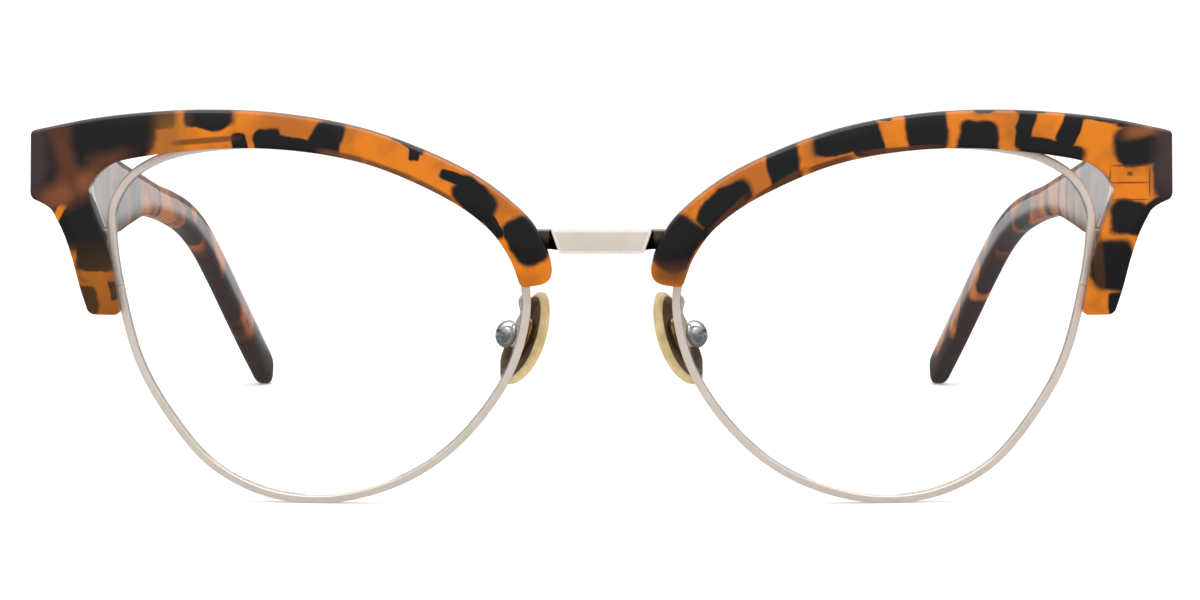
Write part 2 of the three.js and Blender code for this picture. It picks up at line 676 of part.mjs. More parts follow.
function addPair(name, geometry, look) {
  const indexed = geometry.getIndex() ? geometry : mergeVertices(geometry);
  const mirrored = turnedOver(indexed.clone().scale(-1, 1, 1));
  addPiece(`${name}_left`, indexed, look);
  addPiece(`${name}_right`, mirrored, look);
}

const tabDepth = wrapDepth(TAB_SCREW.x, TAB_SCREW.z);

addPiece('bridge', bridge(), CREAM_METAL);
addPair('brow', brow(), TORTOISE);
addPair('rim', rim(), CHAMPAGNE);
addPair('lens', lens(), CLEAR);
addPair('rim_lock_upper', rimLock(false), CHAMPAGNE);
addPair('rim_lock_lower', rimLock(true), CHAMPAGNE);
addPair('rim_lock_screw', rimLockScrew(), STEEL);
addPair('rim_tab', rimTab(), CHAMPAGNE);
addPair('brow_screw_nasal', trimScrew(NASAL_SCREW, 1.15, 3.7), STEEL);
addPair('brow_screw_temporal', trimScrew(TAB_SCREW, tabDepth + 1.15, tabDepth + TAB.back + 0.1), STEEL);
addPair('pad_arm', padArm(), CHAMPAGNE);
addPair('pad_stud', padStud(), GOLD);
addPair('pad_nut', padNut(), STEEL);
addPair('nose_pad', nosePad(), SILICONE);
addPair('hinge_front', hingeFront(), STEEL);
addPair('hinge_temple', hingeTemple(), STEEL);
addPair('hinge_screw', hingeScrew(), STEEL);
addPair('temple', temple(), TORTOISE);
addPair('temple_core', coreBar(0, CORE_START, CORE_END), STEEL);

export default glasses;
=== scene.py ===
"""Browline eyeglasses: the polished acetate, metal, lens and silicone surfaces around the CAD frame.

Shapes are worked out in millimetres in the front's own coordinates: x across (+x is the wearer's left),
y backwards from the front surface and z up. locate() moves them into the row frame, in metres.
Every paired piece is drawn once, on the wearer's left, and mirrored.
"""

import json
import math

import bmesh
import bpy
import numpy as np
from mathutils import Matrix, Vector, geometry


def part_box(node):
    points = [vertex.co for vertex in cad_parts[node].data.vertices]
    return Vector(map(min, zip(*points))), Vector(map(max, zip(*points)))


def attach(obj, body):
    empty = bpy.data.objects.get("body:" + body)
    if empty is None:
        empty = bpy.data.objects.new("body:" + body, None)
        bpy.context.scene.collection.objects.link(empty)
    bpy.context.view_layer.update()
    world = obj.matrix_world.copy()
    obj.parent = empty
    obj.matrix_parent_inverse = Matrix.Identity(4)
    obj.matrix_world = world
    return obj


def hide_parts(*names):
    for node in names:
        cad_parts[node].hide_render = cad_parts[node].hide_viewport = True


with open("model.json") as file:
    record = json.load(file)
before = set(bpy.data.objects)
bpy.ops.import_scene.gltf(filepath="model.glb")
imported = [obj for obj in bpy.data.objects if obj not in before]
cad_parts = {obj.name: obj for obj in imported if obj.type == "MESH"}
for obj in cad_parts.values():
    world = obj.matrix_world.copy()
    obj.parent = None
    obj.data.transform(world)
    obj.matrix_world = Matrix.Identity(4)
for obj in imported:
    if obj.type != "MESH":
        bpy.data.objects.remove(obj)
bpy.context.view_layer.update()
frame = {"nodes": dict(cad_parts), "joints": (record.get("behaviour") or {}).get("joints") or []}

# ---- driving sizes, in millimetres
MM = 0.001
BRIDGE_FRONT = -1.25             # the bridge's front face stands this far before the front surface
SETBACK = BRIDGE_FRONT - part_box("bridge")[0].y / MM
WRAP_X, WRAP_Z, WRAP_CENTRE_Z = 320, 160, 25.8     # radii of the front's dome, height of its middle
GAP = 0.15                       # between pieces that lie beside each other
SLACK = 0.2                      # round a hinge leaf or neck that is let into the acetate

BROW_THICK, BROW_END_EXTRA, BROW_EDGE = 3.8, 1.6, 0.4
BROW_LIP = 1.55                  # the acetate left in front of the eyewire
END_PIECE_BACK = 12.6

RIM_FRONT, RIM_RADIAL, RIM_DEPTH, RIM_EDGE = 1.7, 1.0, 1.9, 0.3
GROOVE_DEPTH, GROOVE_HALF = 0.38, 0.5
RIM_SPLIT = 0.3                  # between the two halves of the lock
RIM_SEAM = 0.08                  # the two ends of the wire almost meet where the lock pulls them together
LENS_THICK, LENS_GAP = 1.2, 0.12
LENS_CENTRE = np.array([35, 22.5])
LOCK_Z, LOCK_HALF, LOCK_SCREW_X = 26.9, 2.15, 61.5

BRIDGE_Z, BRIDGE_HALF_HEIGHT, NECK_HEIGHT = 33, 1.5, 2.4
NASAL_SCREW = (8.7, 33)
TAB_SCREW = (62.7, 32.5)
TAB_BACK = 3.4
SCREW_SHANK, SCREW_HOLE = 0.5, 0.65

PAD_HALF_WIDTH, PAD_HALF_LENGTH = 3.5, 6.3
PAD_UPWARD = Vector((-0.403, -0.144, 0.904))
RECESS_SHARE = 0.88              # the hollow in the pad's back, as a share of its outline

BARREL_PITCH, BARREL_HEIGHT, BARREL_RADIUS = 0.98, 0.88, 1.25
PIN_RADIUS, PIN_HOLE = 0.55, 0.75
PIN_SIDES = 64
BEVEL_ANGLE = math.radians(30)   # edges sharper than this are rounded
LEAF = {"x": (64, 68.4), "y": (11.4, 12.3), "z": (37.7, 41.7)}
TEMPLE_LEAF = {"x": (66.55, 67.35), "y": (13.3, 26), "z": (38.6, 41.3)}
CORE_START, CORE_END = 26.6, 118


def joint(name):
    return next(j for j in frame["joints"] if j["name"] == name)


def front_point(metres):
    """A point of the row frame in the front's own millimetres."""
    return Vector(metres) / MM + Vector((0, SETBACK, 0))


HINGE = front_point(joint("temple_left_fold")["pos_m"])
HINGE_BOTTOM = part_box("hinge_front_left")[0].z / MM
PAD_CENTRE = front_point(joint("pad_left_swivel")["pos_m"])
PAD_INWARD = Vector(joint("pad_left_swivel")["axis"]).normalized()


def wrap_depth(x, z):
    """How far the domed front surface lies behind its foremost point."""
    return x ** 2 / (2 * WRAP_X) + (z - WRAP_CENTRE_Z) ** 2 / (2 * WRAP_Z)


def smoothstep(low, high, value):
    share = np.clip((value - low) / (high - low), 0, 1)
    return share * share * (3 - 2 * share)


# ---- curves
def hermite(start, end, leaving, arriving, t):
    """The cubic from start to end with these end slopes, at the shares t."""
    return (start + leaving * t + (3 * (end - start) - 2 * leaving - arriving) * t ** 2
            + (2 * (start - end) + leaving + arriving) * t ** 3)


def centripetal(points, closed=False, steps=60):
    """A dense line on the centripetal Catmull-Rom curve through the points."""
    points = np.array(points, float)
    if closed:
        padded = np.vstack([points[-1:], points, points[:2]])
    else:
        padded = np.vstack([2 * points[0] - points[1], points, 2 * points[-1] - points[-2]])
    t = np.linspace(0, 1, steps, endpoint=False)[:, None]
    parts = []
    for a, b, c, d in zip(padded, padded[1:], padded[2:], padded[3:]):
        before, middle, after = (np.linalg.norm(q - p) ** 0.5 for p, q in ((a, b), (b, c), (c, d)))
        leaving = ((b - a) / before - (c - a) / (before + middle) + (c - b) / middle) * middle
        arriving = ((c - b) / middle - (d - b) / (middle + after) + (d - c) / after) * middle
        parts.append(hermite(b, c, leaving, arriving, t))
    parts.append(points[:1] if closed else points[-1:])
    return np.vstack(parts)


def spline(points, steps=14):
    """A dense line on the uniform Catmull-Rom curve through the points, without its last point."""
    points = np.array(points, float)
    padded = np.vstack([points[:1], points, points[-1:]])
    t = np.linspace(0, 1, steps, endpoint=False)[:, None]
    return np.vstack([hermite(b, c, (c - a) / 2, (d - b) / 2, t)
                      for a, b, c, d in zip(padded, padded[1:], padded[2:], padded[3:])])


def rounded_corner(start, corner, end, steps=8):
    start, corner, end = (np.array(p, float) for p in (start, corner, end))
    t = np.linspace(0, 1, steps, endpoint=False)[:, None]
    return (1 - t) ** 2 * start + 2 * t * (1 - t) * corner + t ** 2 * end


def lengths(line):
    """The distance run along the line at each of its points."""
    steps = np.linalg.norm(np.diff(line, axis=0), axis=1)
    return np.concatenate([[0], np.cumsum(steps)])


def along(line, distances):
    """Points of the line at these distances from its start."""
    run = lengths(line)
    return np.stack([np.interp(distances, run, column) for column in line.T], axis=1)


def arc(centre, radius, start, end, steps):
    angles = np.radians(np.linspace(start, end, steps + 1))
    return [(centre[0] + radius * math.cos(a), centre[1] + radius * math.sin(a)) for a in angles]


# ---- meshes
def in_scene(name, data):
    """A new object in the scene for a mesh, camera or light."""
    made = bpy.data.objects.new(name, data)
    bpy.context.scene.collection.objects.link(made)
    return made


def mesh_object(points, faces):
    """A closed mesh with its faces pointing out. It is a draft until locate() names it."""
    mesh = bpy.data.meshes.new("draft")
    mesh.from_pydata([tuple(map(float, p)) for p in points], [], [tuple(map(int, f)) for f in faces])
    shape = bmesh.new()
    shape.from_mesh(mesh)
    bmesh.ops.recalc_face_normals(shape, faces=shape.faces)
    if shape.calc_volume(signed=True) < 0:
        bmesh.ops.reverse_faces(shape, faces=shape.faces)
    shape.to_mesh(mesh)
    shape.free()
    return in_scene("draft", mesh)


def skin(rings, ends="cap"):
    """A closed surface through rings of points; 'loop' joins the last ring to the first."""
    count, corners = len(rings), len(rings[0])
    faces = []
    for ring in range(count if ends == "loop" else count - 1):
        here, there = ring * corners, ((ring + 1) % count) * corners
        for corner in range(corners):
            beside = (corner + 1) % corners
            faces.append((here + corner, here + beside, there + beside, there + corner))
    if ends == "cap":
        faces.append(range(corners))
        faces.append(range((count - 1) * corners, count * corners))
    return mesh_object(np.concatenate(rings), faces)


def lathe(profile, steps=72, stretch=(1, 1)):
    """Turns [radius, height] pairs about the local Y axis. A profile starts and ends on it, or closes."""
    profile = [tuple(map(float, p)) for p in profile]
    on_axis = profile[0][0] == 0
    body = profile[1:-1] if on_axis else profile
    turns = np.linspace(0, 2 * math.pi, steps, endpoint=False)
    rings = [np.stack([r * np.cos(turns) * stretch[0], np.full(steps, y), r * np.sin(turns) * stretch[1]], 1)
             for r, y in body]
    if not on_axis:
        return skin(rings, "loop")
    return skin(rings)


def seen_from_front(point, depth):
    return point[0], depth, point[1]


def seen_from_above(point, height):
    return point[0], point[1], height


def prism(outline, low, high, place=seen_from_front):
    """Extrudes a plane outline; place((u, v), depth) says where each corner goes."""
    return skin([np.array([place(point, depth) for point in outline]) for depth in (low, high)])


def block(x, y, z, edge=0.0):
    corners = [(x[0], y[0]), (x[1], y[0]), (x[1], y[1]), (x[0], y[1])]
    made = prism(corners, z[0], z[1], seen_from_above)
    return bevelled(made, edge) if edge else made


def pin(radius, centre, low, high, axis):
    """A plain round bar along 'z' or 'y' through centre."""
    circle = arc(centre, radius, 0, 360, PIN_SIDES)[:-1]
    return prism(circle, low, high, seen_from_above if axis == "z" else seen_from_front)


def bevelled(target, width, segments=3):
    shape = bmesh.new()
    shape.from_mesh(target.data)
    sharp = [e for e in shape.edges if e.is_manifold and e.calc_face_angle(0) > BEVEL_ANGLE]
    bmesh.ops.bevel(shape, geom=sharp, offset=width, segments=segments, profile=0.5, affect="EDGES",
                    clamp_overlap=True)
    shape.to_mesh(target.data)
    shape.free()
    return target


def combine(target, tools, operation):
    """Cuts ('DIFFERENCE') or joins ('UNION') with each tool in turn, exactly; the tools are used up."""
    for tool in tools:
        modifier = target.modifiers.new(operation, "BOOLEAN")
        modifier.operation = operation
        modifier.solver = "EXACT"
        modifier.object = tool
    evaluated = target.evaluated_get(bpy.context.evaluated_depsgraph_get())
    result = bpy.data.meshes.new_from_object(evaluated)
    target.modifiers.clear()
    target.data = result
    for tool in tools:
        bpy.data.objects.remove(tool)
    return target


def cut(target, *tools):
    return combine(target, tools, "DIFFERENCE")


def join(target, *tools):
    return combine(target, tools, "UNION")


def moved(target, place):
    """Passes every corner through place(points), an array in and an array out."""
    mesh = target.data
    points = np.empty(len(mesh.vertices) * 3, np.float32)
    mesh.vertices.foreach_get("co", points)
    points = np.asarray(place(points.reshape(-1, 3).astype(float)), np.float32)
    mesh.vertices.foreach_set("co", points.ravel())
    mesh.update()
    return target


# ---- pieces in the row frame
def locate(target, node, body, material, sharp_angle=32):
    """Makes the draft the finished piece for a CAD node: in metres, inside the node's box."""
    low, high = (np.array(corner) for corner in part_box(node))
    moved(target, lambda p: np.clip((p - np.array([0, SETBACK, 0])) * MM, low, high))
    target.name = node + "_detail"
    target.data.name = target.name
    target.data.shade_smooth()
    target.data.set_sharp_from_angle(angle=math.radians(sharp_angle))
    layers = [face.material_index for face in target.data.polygons]
    target.data.materials.clear()
    for layer in material if isinstance(material, list) else [material]:
        target.data.materials.append(layer)
    if isinstance(material, list):
        target.data.polygons.foreach_set("material_index", layers)
    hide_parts(node)
    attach(target, body)
    return target


def mirrored(target):
    twin = in_scene("draft", target.data.copy())
    twin.data.transform(Matrix.Scale(-1, 4, (1, 0, 0)))
    twin.data.flip_normals()
    return twin


def pair(target, name, body, materials, sharp_angle=32):
    """Both sides of a paired piece. body may hold {side}; materials are one or (left, right)."""
    left, right = materials if isinstance(materials, tuple) else (materials, materials)
    twin = mirrored(target)
    locate(target, name + "_left", body.format(side="left"), left, sharp_angle)
    locate(twin, name + "_right", body.format(side="right"), right, sharp_angle)


# ---- eyewire and lens
RIM_OUTLINE = [
    (60.15, LOCK_Z), (61.0, 33), (60.9, 36.8), (58.6, 40.7), (54.6, 43.2), (49.4, 44.5),
    (42, 45.05), (33.3, 44.45), (24.7, 42.05), (17.3, 38.3), (12.05, 34.05), (9.45, 30),
    (8.65, 25.6), (9.25, 20.9), (11.1, 15.9), (14.9, 10.2), (19.9, 5.35), (26.2, 1.85),
    (34.3, 0), (42.1, 0.9), (48.8, 4.5), (54, 10.7), (57.7, 17.4),
]
RIM_LINE = centripetal(RIM_OUTLINE, closed=True)
RIM_LENGTH = lengths(RIM_LINE)[-1]
RIM_STATIONS = 420


def rim_points(distances, out):
    """Points in front view at these distances round the rim, moved outwards by `out`."""
    step = 0.05
    here = along(RIM_LINE, np.mod(distances, RIM_LENGTH))
    ahead = along(RIM_LINE, np.mod(distances + step, RIM_LENGTH))
    behind = along(RIM_LINE, np.mod(distances - step, RIM_LENGTH))
    tangent = ahead - behind
    tangent /= np.linalg.norm(tangent, axis=1)[:, None]
    return here + out * np.stack([tangent[:, 1], -tangent[:, 0]], axis=1)


def on_wrap(flat, depth):
    """Front-view points at a depth behind the domed front surface."""
    x, z = flat[:, 0], flat[:, 1]
    return np.stack([x, wrap_depth(x, z) + depth, z], axis=1)


def rim_section():
    """[outwards, depth] corners of the wire: rounded edges outside and a V groove for the lens inside."""
    inner, back, edge = -RIM_RADIAL, RIM_DEPTH, RIM_EDGE
    middle, half = RIM_DEPTH / 2, GROOVE_HALF
    section = arc((-edge, edge), edge, 0, -90, 5) + arc((inner + edge, edge), edge, -90, -180, 5)
    section += [(inner, middle - half), (inner + GROOVE_DEPTH, middle), (inner, middle + half)]
    section += arc((inner + edge, back - edge), edge, 180, 90, 5) + arc((-edge, back - edge), edge, 90, 0, 5)
    return section


def rim():
    distances = np.linspace(RIM_SEAM / 2, RIM_LENGTH - RIM_SEAM / 2, RIM_STATIONS)
    columns = [on_wrap(rim_points(distances, out), RIM_FRONT + depth) for out, depth in rim_section()]
    return skin(list(np.stack(columns, axis=1)))


def lens():
    distances = np.linspace(0, RIM_LENGTH, RIM_STATIONS, endpoint=False)
    edge = -RIM_RADIAL - LENS_GAP
    middle, half, base = RIM_DEPTH / 2, LENS_THICK / 2, GROOVE_HALF
    outline = rim_points(distances, edge)
    shares = [0.04, 0.15, 0.3, 0.45, 0.6, 0.75, 0.88, 0.96]
    front, back = ([on_wrap(LENS_CENTRE + (outline - LENS_CENTRE) * share, RIM_FRONT + middle + side)
                    for share in shares] for side in (-half, half))
    bevel = [(0, middle - half), (0, middle - base), (GROOVE_DEPTH, middle), (0, middle + base),
             (0, middle + half)]
    sides = [on_wrap(rim_points(distances, edge + out), RIM_FRONT + depth) for out, depth in bevel]
    return skin(front + sides + back[::-1])


def inside(points, outline):
    """Which front-view points lie inside a closed outline."""
    x, z = points[:, :1], points[:, 1:]
    x0, z0 = outline[:, 0], outline[:, 1]
    x1, z1 = np.roll(x0, -1), np.roll(z0, -1)
    rise = np.where(z1 == z0, 1e-12, z1 - z0)
    crosses = ((z0 > z) != (z1 > z)) & (x < (x1 - x0) * (z - z0) / rise + x0)
    return crosses.sum(axis=1) % 2 == 1


def inset(outline, distance):
    """A dense closed outline moved inwards."""
    tangent = np.roll(outline, -1, axis=0) - np.roll(outline, 1, axis=0)
    tangent /= np.linalg.norm(tangent, axis=1)[:, None]
    normal = np.stack([-tangent[:, 1], tangent[:, 0]], axis=1)
    trial = outline + 0.01 * normal
    inward = 1 if inside(trial, outline).mean() > 0.5 else -1
    return outline + inward * distance * normal


def wrapped_plate(outline, front, back, edge, depth_of, spacing=2.0):
    """A plate that follows the front's dome. Its outer edges are rounded by `edge`.

    depth_of(x, z, depth) gives the final Y of a corner that is `depth` behind the front face.
    """
    levels = [(edge * (1 - math.sin(a)), front + edge * (1 - math.cos(a)))
              for a in np.linspace(0, math.pi / 2, 6 if edge else 1)]
    levels += [(out, front + back - depth) for out, depth in reversed(levels)]
    flats = [inset(outline, out) if out else outline for out, depth in levels]
    rim_flat = flats[0]
    low, high = rim_flat.min(axis=0), rim_flat.max(axis=0)
    grid = np.stack(np.meshgrid(np.arange(low[0], high[0], spacing), np.arange(low[1], high[1], spacing)), -1)
    grid = grid.reshape(-1, 2)
    grid = grid[inside(grid, rim_flat)]
    gaps = np.linalg.norm(grid[:, None] - rim_flat[None], axis=2).min(axis=1)
    grid = grid[gaps > 0.4 * spacing]
    count = len(rim_flat)
    flat = np.vstack([rim_flat, grid])
    loop = [(i, (i + 1) % count) for i in range(count)]
    found = geometry.delaunay_2d_cdt([Vector(p) for p in flat], loop, [], 1, 1e-7)
    if len(found[0]) != len(flat):
        raise ValueError("the outline of a plate crosses itself")
    points, faces = [], []
    for (out, depth), ring in zip(levels, flats):
        points += [(x, depth_of(x, z, depth), z) for x, z in ring]
    for level in range(len(levels) - 1):
        here, there = level * count, (level + 1) * count
        faces += [(here + a, here + b, there + b, there + a) for a, b in loop]
    for start, depth in ((0, levels[0][1]), ((len(levels) - 1) * count, levels[-1][1])):
        extra = len(points) - count
        points += [(x, depth_of(x, z, depth), z) for x, z in grid]
        faces += [[start + i if i < count else extra + i for i in face] for face in found[2]]
    return mesh_object(points, faces)


def rim_cutter(front):
    """Everything inside the rim's outer edge, and a gap beyond it, from `front` backwards."""
    distances = np.linspace(0, RIM_LENGTH, 300, endpoint=False)
    outline = rim_points(distances, GAP)
    return wrapped_plate(outline, front, 12, 0, lambda x, z, depth: wrap_depth(x, z) + depth, 6)


# ---- brow
def brow_outline():
    """The brow in front view: over the top to the nose, back along the rim, down the prong and up."""
    return np.vstack([
        spline([(70.1, 46.1), (61.2, 47.75), (50, 48.65), (38.8, 48.2), (27.7, 46.05), (16.6, 41.5),
                (9.6, 36.4), (6.8, 32.3), (6.05, 29.6)], 26),
        rounded_corner((6.05, 29.6), (5.9, 27.9), (7.6, 27.55)),
        rounded_corner((7.6, 27.55), (8.3, 27.45), (9.1, 27.3), 4),
        rounded_corner((9.1, 27.3), (9.9, 27.2), (10.15, 28.1)),
        spline([(10.15, 28.1), (11.3, 31), (13.9, 34.5), (18.7, 37.95), (26.4, 41.45), (33.2, 43.2),
                (40.6, 44), (48, 43.95), (55, 43.2)], 18),
        spline([(55, 43.2), (60, 42.15), (62.9, 39.9), (63, 37.5), (61.3, 33.1)], 12),
        spline([(61.3, 33.1), (60.5, 30.4), (60.1, 28), (59.5, 24.2)], 8),
        rounded_corner((59.5, 24.2), (59.5, 23.4), (60.2, 23.4)),
        rounded_corner((60.2, 23.4), (61.3, 23.4), (62.4, 23.4), 5),
        rounded_corner((62.4, 23.4), (63.3, 23.4), (63.6, 24.1)),
        spline([(63.6, 24.1), (64.5, 26.9), (65.4, 30.3), (66.5, 33.5), (67.9, 36.2)], 8),
        rounded_corner((67.9, 36.2), (68.5, 36.9), (70.1, 37.5)),
        rounded_corner((70.1, 37.5), (70.7, 37.8), (70.7, 38.6)),
        rounded_corner((70.7, 38.6), (70.67, 42), (70.65, 45.5), 16),
        rounded_corner((70.65, 45.5), (70.6, 46), (70.1, 46.1)),
    ])


def wrapped_block(x, y, z):
    """A box that follows the front's dome: y is a pair of depths behind the front face."""
    depth = wrap_depth(sum(x) / 2, sum(z) / 2)
    return block(x, (y[0] + depth, y[1] + depth), z)


def brow():
    def depth_of(x, z, depth):
        thicker = BROW_END_EXTRA * smoothstep(50, 65, x) if depth > BROW_THICK / 2 else 0
        return wrap_depth(x, z) + depth + thicker
    plate = wrapped_plate(brow_outline(), 0, BROW_THICK, BROW_EDGE, depth_of, 1.6)
    neck = NECK_HEIGHT / 2 + SLACK
    tab_depth = wrap_depth(*TAB_SCREW)
    return cut(
        plate,
        rim_cutter(BROW_LIP),
        # room for the lock, the bridge's neck, the tab and the hinge leaf
        wrapped_block((58, 62.75), (BROW_LIP, 12), (LOCK_Z - LOCK_HALF - 0.35, LOCK_Z + LOCK_HALF + 1.1)),
        wrapped_block((5, 12.5), (1.95, 12), (BRIDGE_Z - neck, BRIDGE_Z + neck)),
        wrapped_block((58, 64.2), (2.4, 12), (31.0, 34.0)),
        block((LEAF["x"][0] - SLACK, LEAF["x"][1] + SLACK), (LEAF["y"][0] - SLACK, 20),
              (LEAF["z"][0] - SLACK, LEAF["z"][1] + SLACK)),
        pin(SCREW_HOLE, NASAL_SCREW, 1, 3, "y"),
        pin(SCREW_HOLE, TAB_SCREW, tab_depth + 1, tab_depth + 3, "y"),
        block((55, 80), (END_PIECE_BACK, 20), (20, 60)),
    )


# ---- small metal parts
def slotted_screw(radius, length, head_radius, head_height):
    """A screw along local Y with a domed, slotted head; the shank starts at 0."""
    top = length + head_height
    dome = [(head_radius * math.cos(a), length + head_height * (0.45 + 0.55 * math.sin(a)))
            for a in np.linspace(0.15, 1.5, 9)]
    chamfer = 0.08
    profile = [(0, 0), (radius - chamfer, 0), (radius, chamfer), (radius, length),
               (head_radius - chamfer, length), (head_radius, length + chamfer)] + dome + [(0, top)]
    screw = lathe(profile)
    slot = block((-2 * head_radius, 2 * head_radius), (top - 0.35 * head_height, top + 1), (-0.15, 0.15))
    return cut(screw, slot)


def upright(target, x, y, z):
    """Turns a piece made along local Y to stand along +Z at a point."""
    return moved(target, lambda p: np.stack([p[:, 0] + x, y - p[:, 2], p[:, 1] + z], axis=1))


LOCK_FRONT = wrap_depth(60.8, LOCK_Z) + RIM_FRONT
LOCK_AXIS = LOCK_FRONT + 0.95


def rim_lock(lower):
    near = RIM_SPLIT / 2
    z = (LOCK_Z - LOCK_HALF, LOCK_Z - near) if lower else (LOCK_Z + near, LOCK_Z + LOCK_HALF)
    made = block((59.4, 62.5), (LOCK_FRONT + 0.1, LOCK_FRONT + 1.8), z, 0.12)
    hole = pin(SCREW_HOLE, (LOCK_SCREW_X, LOCK_AXIS), LOCK_Z - 4, LOCK_Z + 4, "z")
    return cut(made, rim_cutter(0), hole)


def rim_lock_screw():
    screw = slotted_screw(SCREW_SHANK, 2 * LOCK_HALF + 0.1, 0.8, 0.6)
    return upright(screw, LOCK_SCREW_X, LOCK_AXIS, LOCK_Z - LOCK_HALF)


def rim_tab():
    depth = wrap_depth(*TAB_SCREW)
    outline = [(60.2, 31.2)] + arc((62.7, 32.5), 1.3, -90, 90, 24) + [(60.2, 33.8)]
    made = prism(outline, depth + 2.6, depth + TAB_BACK)
    return cut(bevelled(made, 0.1), rim_cutter(0), pin(SCREW_HOLE, TAB_SCREW, 0, 20, "y"))


PANEL_LAYER, NECK_LAYER = 1, 2   # the bridge's second and third look
BAR_END, BAR_END_BACK = 6.3, 4.5 # the bar's half width, in front and where the necks leave it behind
PANEL_AREA = 5                   # the bar's flat front is its only face larger than this, in mm2


def bridge():
    """The flat bar with its wide bevel, and the slanted necks that run behind the brows."""
    front, back, slope = BRIDGE_FRONT, 0.65, 0.35
    bottom, top = BRIDGE_Z - BRIDGE_HALF_HEIGHT, BRIDGE_Z + BRIDGE_HALF_HEIGHT
    bar = prism([(-6.2, top), (-5.15, bottom), (5.15, bottom), (6.2, top)], front, back)
    bevelled(bar, slope, 2)
    necks = []
    for side in (1, -1):
        outline = [(3.9, 0.2), (4.9, 0.2), (6.35, 2.45), (12.5, 2.45), (12.5, 3.6)]
        outline += list(rounded_corner((6.2, 3.6), (5.6, 3.6), (5.2, 3.0))) + [(5.2, 3.0)]
        neck = prism(outline, BRIDGE_Z - NECK_HEIGHT / 2, BRIDGE_Z + NECK_HEIGHT / 2,
                     lambda p, d, side=side: (side * p[0], p[1], d))
        bevelled(neck, 0.18, 3)
        necks.append(cut(neck, pin(SCREW_HOLE, (side * NASAL_SCREW[0], NASAL_SCREW[1]), 0, 20, "y")))
    rim_room = rim_cutter(0)
    whole = cut(join(bar, *necks), rim_room, mirrored(rim_room))
    for face in whole.data.polygons:
        x, y, _ = face.center
        # the necks take a dark copy of the bridge's metal: a painted reflection of the acetate around them
        if abs(x) > BAR_END or (y > back + 0.1 and abs(x) > BAR_END_BACK):
            face.material_index = NECK_LAYER
        # the flat front takes a darker copy of the cream metal: painted shade
        elif face.normal.y < -0.99 and face.area > PANEL_AREA:
            face.material_index = PANEL_LAYER
    return whole


# ---- nose pads
PAD_ACROSS = PAD_INWARD.cross(PAD_UPWARD).normalized()
PAD_BASIS = Matrix((PAD_ACROSS, PAD_INWARD, PAD_ACROSS.cross(PAD_INWARD).normalized())).transposed().to_4x4()
PAD_BASIS.translation = PAD_CENTRE


def in_pad(target):
    """From the pad's own frame (x across, y towards the nose, z up the pad) to the front's."""
    target.data.transform(PAD_BASIS)
    return target


def nose_pad():
    profile = centripetal([(0, 1.0), (0.5, 0.9), (0.8, 0.55), (0.96, 0.15), (1, -0.25), (0.97, -0.68),
                           (0.91, -0.97), (0.85, -1.02), (0.8, -0.8), (0.76, -0.3)], steps=6)
    profile = [(0, 1.0)] + list(profile[1:]) + [(0.6, -0.3), (0.3, -0.3), (0.12, -0.3), (0, -0.3)]

    def teardrop(p):
        height = p[:, 2] / PAD_HALF_LENGTH
        x = p[:, 0] * (1 - 0.12 * height) + 0.9 * height ** 2 - 0.3
        return np.stack([x, p[:, 1], p[:, 2]], axis=1)
    pad = lathe(profile, 96, (PAD_HALF_WIDTH, PAD_HALF_LENGTH))
    for face in pad.data.polygons:
        x, y, z = face.center
        share = math.hypot(x / PAD_HALF_WIDTH, z / PAD_HALF_LENGTH)
        # faces in the hollow take the second look, a dark copy of the silicone: painted shade
        face.material_index = int(y < -0.2 and share < RECESS_SHARE)
    return in_pad(moved(pad, teardrop))


def pad_stud():
    edge = arc((0.94, -0.9), 0.06, -60, 60, 4)
    oval = lathe([(0, -1.0), (0.9, -1.0)] + edge + [(1, -0.6), (0.97, -0.5), (0, -0.5)],
                 72, (1.45, 2.7))
    post = lathe([(0, -3.15), (0.47, -3.15), (0.55, -3.07), (0.55, -0.7), (0, -0.7)])
    return in_pad(join(oval, post))


def pad_nut():
    dome = [(1.75 * math.sin(a), -3 - 1.5 * math.cos(a)) for a in np.linspace(0.08, math.pi / 2, 16)]
    profile = [(0, -4.5)] + dome + [(1.68, -2.83), (1.6, -2.75), (0.75, -2.75), (0.75, -3.35), (0, -3.35)]
    return in_pad(lathe(profile))


def tube(line, radius, sides=28):
    """A round wire along a line of points, with flat ends."""
    line = np.array(line)
    tangents = np.gradient(line, axis=0)
    tangents /= np.linalg.norm(tangents, axis=1)[:, None]
    up = np.cross(tangents[0], (0, 0, 1))
    angles = np.linspace(0, 2 * math.pi, sides, endpoint=False)
    rings = []
    for point, tangent in zip(line, tangents):
        up = up - tangent * (up @ tangent)
        up /= np.linalg.norm(up)
        side = np.cross(tangent, up)
        rings.append(point + radius * (np.cos(angles)[:, None] * up + np.sin(angles)[:, None] * side))
    return skin(rings)


def pad_arm():
    near, far, hole, outer, edge = -1.7, -2.6, 0.8, 1.4, 0.15
    profile = []
    corners = [(hole + edge, far + edge, 180), (outer - edge, far + edge, 270),
               (outer - edge, near - edge, 0), (hole + edge, near - edge, 90)]
    for x, y, start in corners:
        profile += arc((x, y), edge, start, start + 90, 4)
    ring = in_pad(lathe(profile))
    rim_back = wrap_depth(9.2, 25.5) + RIM_FRONT + RIM_DEPTH + GAP
    middle = (near + far) / 2
    path = [(9.2, rim_back, 25.4), (9.25, 5.4, 25.6), (9.8, 7.3, 25.0)]
    path += [tuple(PAD_BASIS @ Vector((0, middle, z))) for z in (3.2, 1.1)]
    return join(ring, tube(centripetal(path, steps=14), 0.5))


# ---- hinge
def barrel(level):
    bottom = HINGE_BOTTOM + level * BARREL_PITCH
    return bevelled(pin(BARREL_RADIUS, (HINGE.x, HINGE.y), bottom, bottom + BARREL_HEIGHT, "z"), 0.1, 2)


def hinge_hole():
    return pin(PIN_HOLE, (HINGE.x, HINGE.y), HINGE_BOTTOM - 2, HINGE_BOTTOM + 8, "z")


